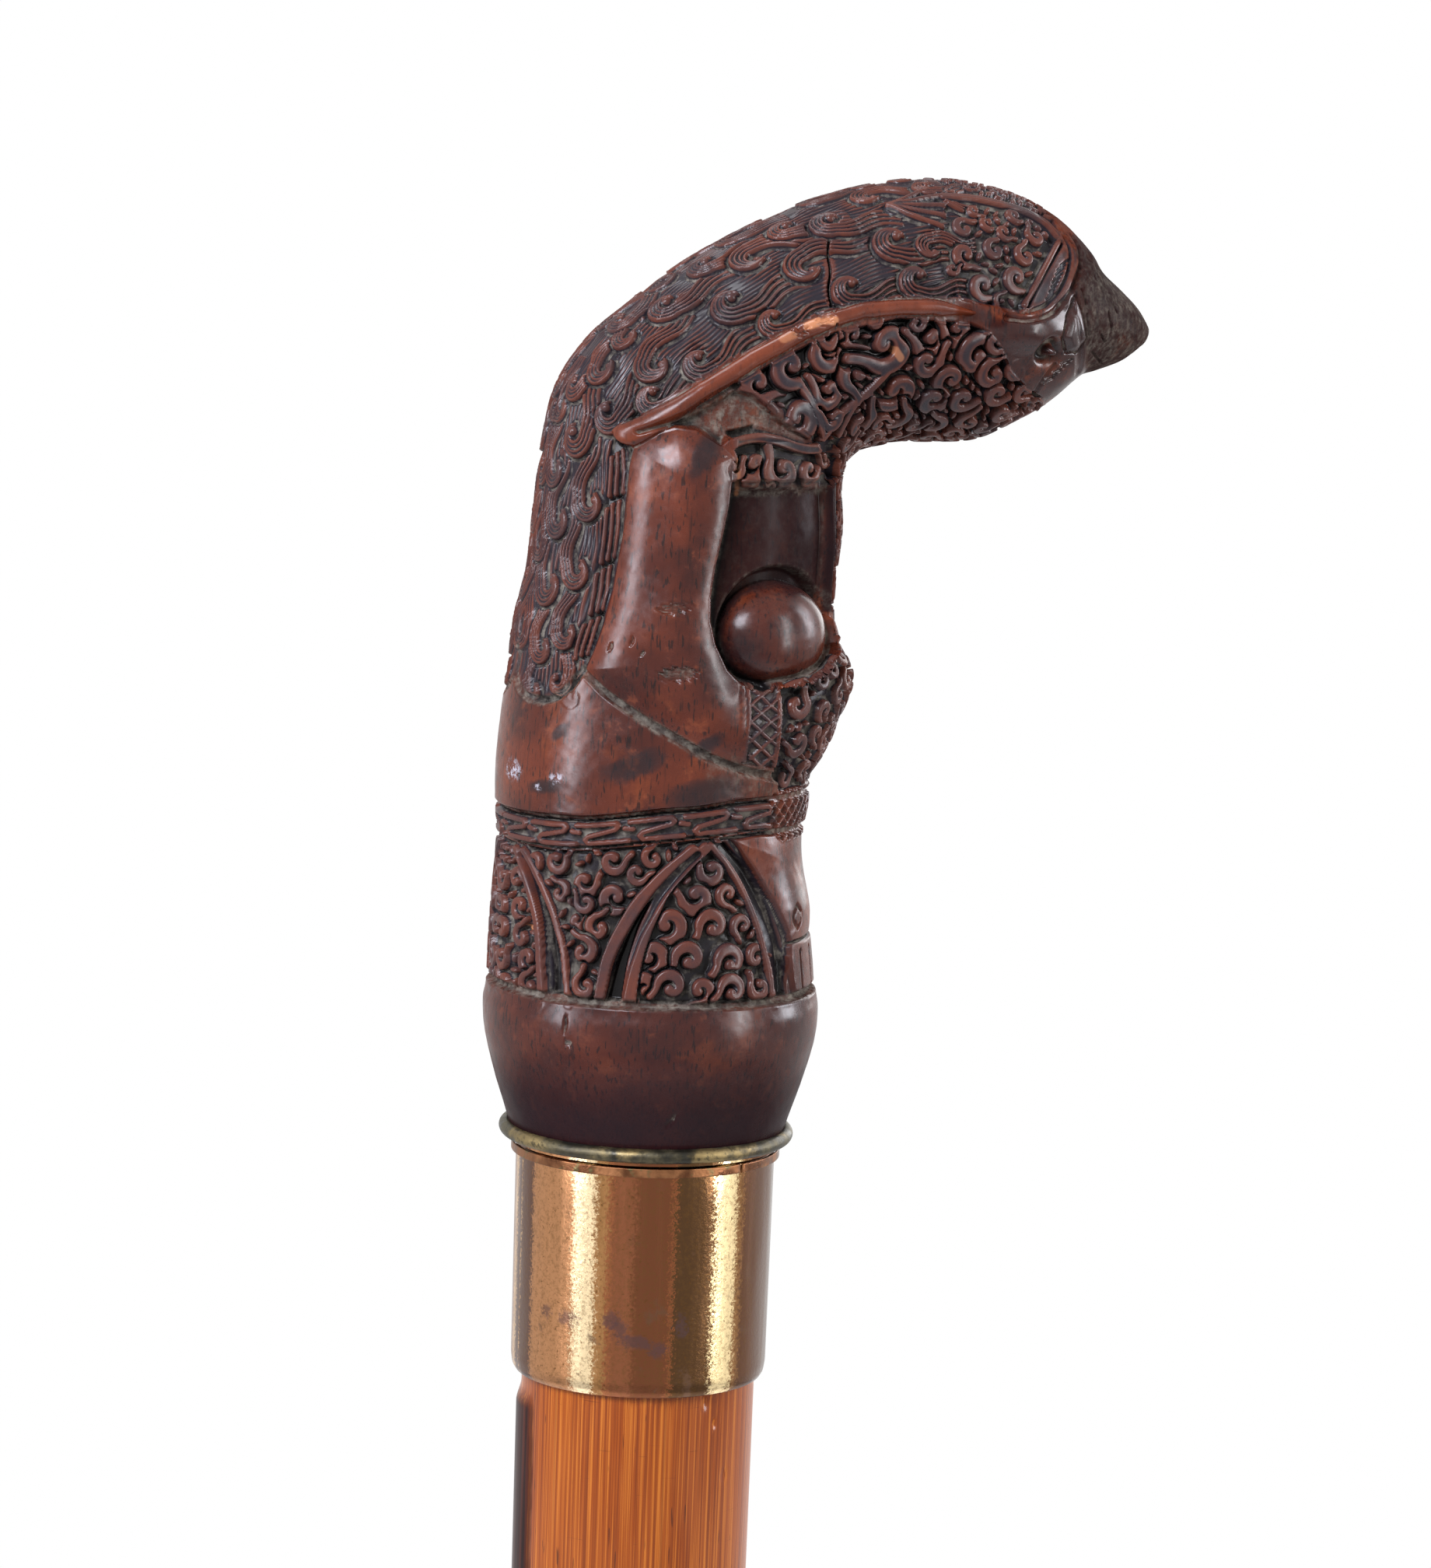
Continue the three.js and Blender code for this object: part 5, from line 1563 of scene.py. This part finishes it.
# The front, which the photograph shows edge on, has a panel of scrolls from hands to throat.
front_depth = 0.8
front_outline = [(15.7, 54.4), (24, 54.4), (24, 71.5), (15.0, 71.5), (15.3, 60)]
front_field = cut_field(front_outline, front_depth)
front_free = (front_field > 0.9) & (outside(near_side, front_outline) < -0.5)
front_spots = free_spots(front_free, layers["raised"] > 0.3, 2.7, 40, 9)
fill_with_scrolls(front_spots, 20, 1.35, tail=0.7, depth=front_depth)
fill_with_leaves(front_free, 0.6, front_depth, 40, 10)

# Single cuts: the arm's lower line, the hem, and the line round the mantle's lower end.
arm_line = traced([
    (748, 862), (770, 884), (800, 907), (830, 928), (860, 945), (890, 962), (920, 978), (960, 992),
    (1000, 1000),
])
stroke("scored", arm_line, 0.16, 0.5, slope=0.35, ends=(0.8, 1.5))
lay_over("scored", 0.9 * (1 - ease(np.abs(near_points[..., 2] - hem_height), 0.15, 0.6)))
tongue_line = traced([(655, 832), (657, 862), (668, 890), (690, 903), (712, 898), (732, 884), (748, 862)])
stroke("scored", tongue_line, 0.2, 0.35, slope=0.4)

# Wear on the near side only: a drying crack across the hood, lost chips in its rim, bruises on
# the arm and dents in the bulb.
crack_path = [
    (1066, 303), (1064, 322), (1069, 342), (1067, 366), (1071, 390), (1075, 412), (1080, 432),
    (1077, 458),
]
stroke("near_only", traced(crack_path, 5), 0.05, 1.2, slope=0.1)
# Bruises: the place in the photograph, the heading, half the length and width, and the depth.
bruises = [
    ((868, 784), 6, 1.7, 0.62, 0.35), ((872, 866), 2, 2.0, 0.8, 0.45),
    ((786, 832), 70, 0.55, 0.2, 0.35), ((813, 826), 75, 0.6, 0.18, 0.35),
    ((826, 838), 60, 0.4, 0.16, 0.3), ((930, 786), 70, 0.8, 0.22, 0.3),
    ((727, 1318), 86, 1.0, 0.25, 0.4), ((732, 1341), 0, 0.4, 0.3, 0.5),
    ((862, 1440), 50, 1.0, 0.3, 0.2), ((1028, 628), 0, 0.5, 0.3, 0.2), ((1030, 424), 20, 0.9, 0.6, 0.6),
    ((1062, 410), 25, 1.0, 0.6, 0.45),
]
for pixel, heading, long, wide, depth in bruises:
    spot = seen_at(pixel)
    patch = Patch(spot, shown_way(spot, heading), 1, 1, long + 1)
    ragged = 1 + 0.22 * np.sin(patch.places[..., 0] * 5 + patch.places[..., 1] * 9)
    splintered = 0.8 + 0.2 * np.sin(patch.places[..., 1] * 21)
    gap = np.hypot(patch.places[..., 0] / long, patch.places[..., 1] / wide) * ragged
    patch.lay("near_only", (1 - ease(gap, 0.7, 1.05)) * depth * splintered)

# Colour of the surface: dust that has settled in the cuts, edges rubbed bare by hands, and
# darker stain where they don't reach. Painted shade darkens the sunken flank, the ball and the
# bulb's lower part.
beak_gap = outside(near_side, beak_outline)
in_flank = softly(-flank_inside, 1.2)
lay_over("dust", 0.75 * softly(outside(near_side, shoulder_flat), 0.8))
lay_over("dust", 0.5 * (1 - ease(np.abs(flank_inside - 0.3), 0.1, 0.7)) * (side[..., 0] < 3))
lay_over("dust", 0.42 * (1 - ease(np.abs(socket_off - 0.97), 0.02, 0.09)))
lay_over("dust", 0.6 * (1 - ease(np.abs(side[..., 1] - 70.0), 0.5, 1.3)) * (flank_inside > 0))
lay_over("dust", 0.3 * armpit_field)
lay_over("dust", 0.15 * in_flank)
lay_over("dust", 0.3 * in_belt * (1 - meander) * (1 - in_buckle))
lay_over("dust", 0.9 * (1 - ease(np.abs(near_points[..., 2] - hem_height), 0.2, 0.8)))
stroke("dust", arm_line, 0.35, 0.9, slope=0.5, ends=(0.6, 1.6))
stroke("dust", tongue_line, 0.4, 0.85, slope=0.4)
stroke("dust", traced([(930, 990), (960, 1000), (985, 1012)]), 1.4, 0.5, slope=1.2)
lay_over("dust", 0.55 * softly(beak_gap, 0.8))
stroke("matte", traced([(1244, 402), (1262, 408), (1284, 404)]), 1.0, 0.85, slope=0.9)
rubbed_rim = [
    (790, 561), (840, 545), (900, 500), (960, 468), (1010, 440), (1075, 405), (1160, 396), (1240, 402),
]
stroke("rubbed", traced(rubbed_rim), 0.8, 0.9, slope=0.5)
for name, pixels, step, half_width, level, slope in (
    ("pale", [(1040, 418), (1064, 408), (1072, 412)], 5, 0.42, 0.9, 0.25),
    ("pale", [(1008, 436), (1020, 430)], 5, 0.35, 0.45, 0.25),
    ("pale", [(948, 590), (950, 606), (947, 634)], 5, 0.1, 0.35, 0.25),
    ("pale", [(1152, 452), (1158, 460)], 4, 0.3, 0.5, 0.2),
    ("pale", [(673, 1190), (677, 1199)], 4, 0.16, 0.9, 0.15),
    ("dust", [(868, 784), (872, 784)], 4, 0.4, 0.45, 0.5),
    ("dust", [(860, 867), (884, 866)], 4, 0.4, 0.6, 0.4),
):
    stroke(name, traced(pixels, step), half_width, level, slope)
off_ball = 1 - ease(1 - ball_off, 0.0, 0.2)
flank_shade_level = in_flank * off_ball * (1 - 0.75 * flank_top)
ball_level = 1 - ease(ball_off, 0.8, 1.0)
bar_outline = [(13.9, 56.5), (16.6, 56.5), (16.4, 72.5), (13.4, 72.5)]
front_bar = softly(outside(near_side, bar_outline), 0.9)
# Painted shade over the ball in its socket, with a little stain as well.
lay_over("shade", 0.45 * ball_level)
lay_over("stain", 0.3 * ball_level)
lay_over("stain", 0.9 * front_bar)
lay_over("stain", 0.5 * np.clip(leg_inside / 2, 0, 1))
in_socket = (1 - ease(socket_off, 0.9, 1.05)) * in_flank
# Painted shade: the sunken flank's floor is darkened through the stain layer.
lay_over("stain", 0.86 * flank_shade_level)
# Painted shade: the bulb darkens towards its foot, up to the hem.
bulb_up = near_points[..., 2]
bulb_shade_level = 0.35 + 0.55 * (1 - ease(bulb_up, 3, 13))
lay_over("shade", bulb_shade_level * (1 - ease(bulb_up, hem_height - 0.6, hem_height + 0.2)))
face_outline = [
    (28.5, 89.0), (31, 87.9), (36, 88.2), (39, 89.8), (41, 92), (43, 97), (60, 97), (60, 74), (36, 76),
    (33, 82),
]
lay_over("stain", 0.75 * softly(outside(near_side, face_outline), 2.0))
lay_over("stain", 0.85 * softly(beak_gap, 1.5))
lay_over("stain", 0.35 * neck_field)
# Stains: the place in the photograph, the heading, and half the length and width.
stains = [
    ((815, 985), 20, 4.5, 2.2), ((905, 1022), 12, 5.5, 2.4), ((985, 1050), 5, 3.5, 1.8),
    ((700, 1010), 0, 3.5, 1.2), ((905, 585), 60, 4.0, 1.8), ((720, 940), 40, 2.5, 1.2),
    ((930, 690), 80, 4.5, 1.0), ((765, 800), 80, 4.0, 1.2), ((905, 960), 30, 3.0, 1.2),
]
for pixel, heading, long, wide in stains:
    spot = seen_at(pixel)
    patch = Patch(spot, shown_way(spot, heading), 1, 1, long + 2)
    gap = np.hypot(patch.places[..., 0] / long, patch.places[..., 1] / wide)
    patch.lay("stain", 0.85 * (1 - ease(gap, 0.3, 1.2)))
lay_over("matte", np.maximum(0.84 * flank_shade_level, 0.9 * softly(beak_gap, 1.5)))
lay_over("matte", 0.8 * front_bar)
bridge_outline = [
    (40.6, 92.5), (42.0, 88.5), (46, 90), (50, 100), (40.0, 104), (38.5, 98.5), (40.0, 95.5),
]
bridge = softly(outside(near_side, bridge_outline), 1.0)
lay_over("matte", bridge)
lay_over("dust", 0.3 * bridge)
smooth_parts = np.clip(np.maximum(leg_inside, toe_inside) * 2, 0, 1)
for pixel, reach in (((660, 990), 2.3), ((716, 1000), 1.3), ((690, 1012), 0.8)):
    spot = seen_at(pixel)
    gap = np.linalg.norm((near_points - form[spot]) * (1, 1, 1.5), axis=-1)
    lay_over("paint", 1 - ease(gap, 0.3 * reach, reach))

# The carving stops at the hood's plain rim, and no motif stands proud of the plain form.
off_rim = ease(hood_gap, 0.75 * hood_half, hood_half + 0.25)
layers["ground"] *= off_rim
layers["raised"] *= off_rim
layers["scored"] *= off_rim
layers["raised"] = np.minimum(layers["raised"], layers["ground"] * 1.12 + 0.03)
relief = layers["raised"] - layers["ground"] - layers["scored"] + layers["proud"]
full_relief = both_sides(relief)
full_relief[:, near] -= layers["near_only"]
full_relief = full_relief + 0.014 * uneven(form, 9, 11) + 0.004 * uneven(form, 1.3, 12)
full_relief = full_relief * ease(form[..., 2], 0.3, 2.0)
carved = form + normals * full_relief[..., None]
whole_relief = relief + large - layers["near_only"]
hollow = spread(whole_relief, 3) - whole_relief
# deep: how far each point lies below its wider surroundings, which sets the painted shade in recesses.
deep = spread(whole_relief, 9) - whole_relief

stud_top = rim.z + stud_in_handle
stud_rings = turned_points([(stud_bore, stud_top), (stud_bore, rim.z)], handle_columns)
first_column = np.array(Matrix.Rotation(math.pi, 3, "Z"))  # the handle's columns start on its back line
stud_rings = stud_rings @ first_column.T
beak_end = [(0.9, 0.18), (0.7, 0.36), (0.4, 0.48)]  # rings that round it off: size, and how far on
beak_point = 0.52
last_ring = carved[-1]
last_middle = last_ring.mean(0)
beak_way = last_middle - carved[-8].mean(0)
beak_way = beak_way / np.linalg.norm(beak_way)
end_rings = [last_middle + (last_ring - last_middle) * share + beak_way * on for share, on in beak_end]
carved_metres = np.concatenate([carved, np.array(end_rings)]) * millimetre + np.array(rim)
handle_points = np.concatenate([stud_rings, carved_metres])
handle_poles = (
    (0, 0, stud_top),
    tuple((last_middle + beak_way * beak_point) * millimetre + np.array(rim)),
)
handle_mesh = grid_mesh("carved_handle", handle_points, poles=handle_poles)


def carry_handle(name, values, near_only=False):
    """Stores one value for each point of the handle, from those of its near side."""
    whole = both_sides(values)
    if near_only:
        whole[:, near.stop:] = 0
    low = np.zeros((len(stud_rings), handle_columns))
    high = np.repeat(whole[-1:], len(end_rings), axis=0)
    carry(handle_mesh, name, np.concatenate([low, whole, high]).ravel())


carry_handle("hollow", np.clip(hollow, -1, 1))
# Painted shade in the carving's deep recesses, kept lighter in the ball's socket.
carry_handle("deep", np.clip(deep * (1 - 0.55 * in_socket), -2, 2))
carry_handle("carving", np.clip(layers["ground"] / 0.5, 0, 1) * (1 - smooth_parts))
for name in ("matte", "dust", "rubbed", "stain", "shade"):
    carry_handle(name, layers[name])
for name in ("pale", "paint"):
    carry_handle(name, layers[name], near_only=True)

wood = Finish("carved_wood", Coat_IOR=1.42)
wood_large = wood.clouds(70, detail=3)
wood_stain = wood.clouds(190, detail=6, rough=0.62)
wood_fine = wood.clouds(900, detail=4)
wood_grain = wood.clouds(2200, stretch=(1, 1, 0.09), detail=2)
wood_pores = wood.clouds(3400, stretch=(1, 1, 0.2), detail=1)
wood_wear = wood.clouds(420, detail=7, rough=0.7)
wood_hollow = wood.carried("hollow")
wood_recess_shade = wood.carried("deep")
wood_carving = wood.carried("carving")
wood_matte = wood.carried("matte")
wood_shade = wood.carried("shade")
plain_tone = wood.blend(wood.between(wood_large, 0.38, 0.62), colour(49, 18, 12), colour(75, 31, 17))
plain_tone = wood.blend(wood.between(wood_stain, 0.52, 0.68, 0, 0.5), plain_tone, colour(30, 12, 12))
plain_tone = wood.blend(wood.between(wood_stain, 0.46, 0.3, 0, 0.35), plain_tone, colour(108, 52, 26))
plain_tone = wood.blend(wood.between(wood_grain, 0.56, 0.72, 0, 0.6), plain_tone, colour(21, 10, 9))
plain_tone = wood.blend(wood.between(wood_pores, 0.61, 0.67, 0, 0.75), plain_tone, colour(16, 8, 8))
plain_tone = wood.blend(wood.between(wood_wear, 0.56, 0.66, 0, 0.3), plain_tone, colour(113, 57, 33))
wood_ragged = wood.maths("ADD", wood.carried("stain"), wood.between(wood_stain, 0.3, 0.7, -0.35, 0.35))
wood_ragged = wood.maths("MULTIPLY", wood.between(wood_ragged, 0.25, 0.6), wood.carried("stain"))
plain_tone = wood.blend(wood_ragged, plain_tone, colour(23, 15, 17))
# Painted shade from the shade layer, on the ball and the bulb's lower part.
plain_tone = wood.blend(wood_shade, plain_tone, colour(23, 11, 15))
# Carved parts: the hollows between crests are painted in shade, darker than the crests.
crest = wood.between(wood_hollow, 0.02, -0.12)
crest_tone = wood.blend(wood.between(wood_stain, 0.35, 0.7), colour(76, 40, 31), colour(51, 35, 35))
carved_tone = wood.blend(crest, colour(29, 25, 30), crest_tone)
wood_tone = wood.blend(wood_carving, plain_tone, carved_tone)
wood_rubbed = wood.maths(
    "MULTIPLY", wood.carried("rubbed"), wood.between(wood_stain, 0.35, 0.6, 1.0, 0.35),
)
wood_tone = wood.blend(wood_rubbed, wood_tone, colour(92, 42, 24))
# Painted shade: the deepest recesses of the carving go nearly black.
wood_tone = wood.blend(wood.between(wood_recess_shade, 0.15, 0.7), wood_tone, colour(13, 10, 11))
dust_edge = wood.between(wood_hollow, 0.03, 0.18)
dust_edge = wood.maths("SUBTRACT", dust_edge, wood.between(wood_recess_shade, 0.4, 0.8, 0, 0.9))
dust_break = wood.between(wood.clouds(480, detail=7, rough=0.7), 0.34, 0.64)
dust_cut = wood.maths("MULTIPLY", dust_edge, dust_break, clamp=True)
dust_cut = wood.maths("MULTIPLY", dust_cut, wood.between(wood_matte, 0.2, 0.8, 1.0, 0.1))
dust_flat = wood.between(wood.clouds(1600, detail=5, rough=0.7), 0.2, 0.72)
dust_flat = wood.maths("MULTIPLY", wood.carried("dust"), dust_flat)
dust = wood.maths("MAXIMUM", dust_cut, dust_flat)
dust_tone = wood.blend(wood.between(wood_fine, 0.4, 0.6), colour(75, 70, 65), colour(112, 106, 97))
wood_tone = wood.blend(wood.between(dust, 0.0, 1.0, 0, 0.75), wood_tone, dust_tone)
wood_tone = wood.blend(wood.carried("pale"), wood_tone, colour(153, 101, 70))
paint_chips = wood.between(wood.clouds(1500, detail=5, rough=0.8), 0.5, 0.6)
paint_chips = wood.maths("MULTIPLY", wood.carried("paint"), paint_chips)
wood_tone = wood.blend(paint_chips, wood_tone, colour(139, 136, 144))
wood_rough = wood.between(dust, 0.1, 0.7, 0.42, 0.9)
wood_rough = wood.maths("MAXIMUM", wood_rough, wood.between(wood_matte, 0, 1, 0.4, 0.62))
wood_shine = wood.between(wood_carving, 0.0, 1.0, 0.66, 0.46)
wood_shine = wood.maths("MULTIPLY", wood_shine, wood.between(dust, 0.0, 0.5, 1.0, 0.0))
wood_shine = wood.maths("MULTIPLY", wood_shine, wood.between(wood_matte, 0.0, 1.0, 1.0, 0.04))
wood_shine = wood.maths("MULTIPLY", wood_shine, wood.between(wood_shade, 0.3, 0.9, 1.0, 0.4))
wood_bump = wood.bump(wood_fine, 0.06 * millimetre, wood.bump(wood_grain, 0.04 * millimetre))
wood.set(
    Base_Color=wood_tone, Roughness=wood_rough, Coat_Weight=wood_shine,
    Coat_Roughness=wood.between(wood_wear, 0.35, 0.65, 0.2, 0.33),
    Specular_IOR_Level=0.0, Normal=wood_bump,
)
add_piece("carved_handle", handle_mesh, "handle", wood)
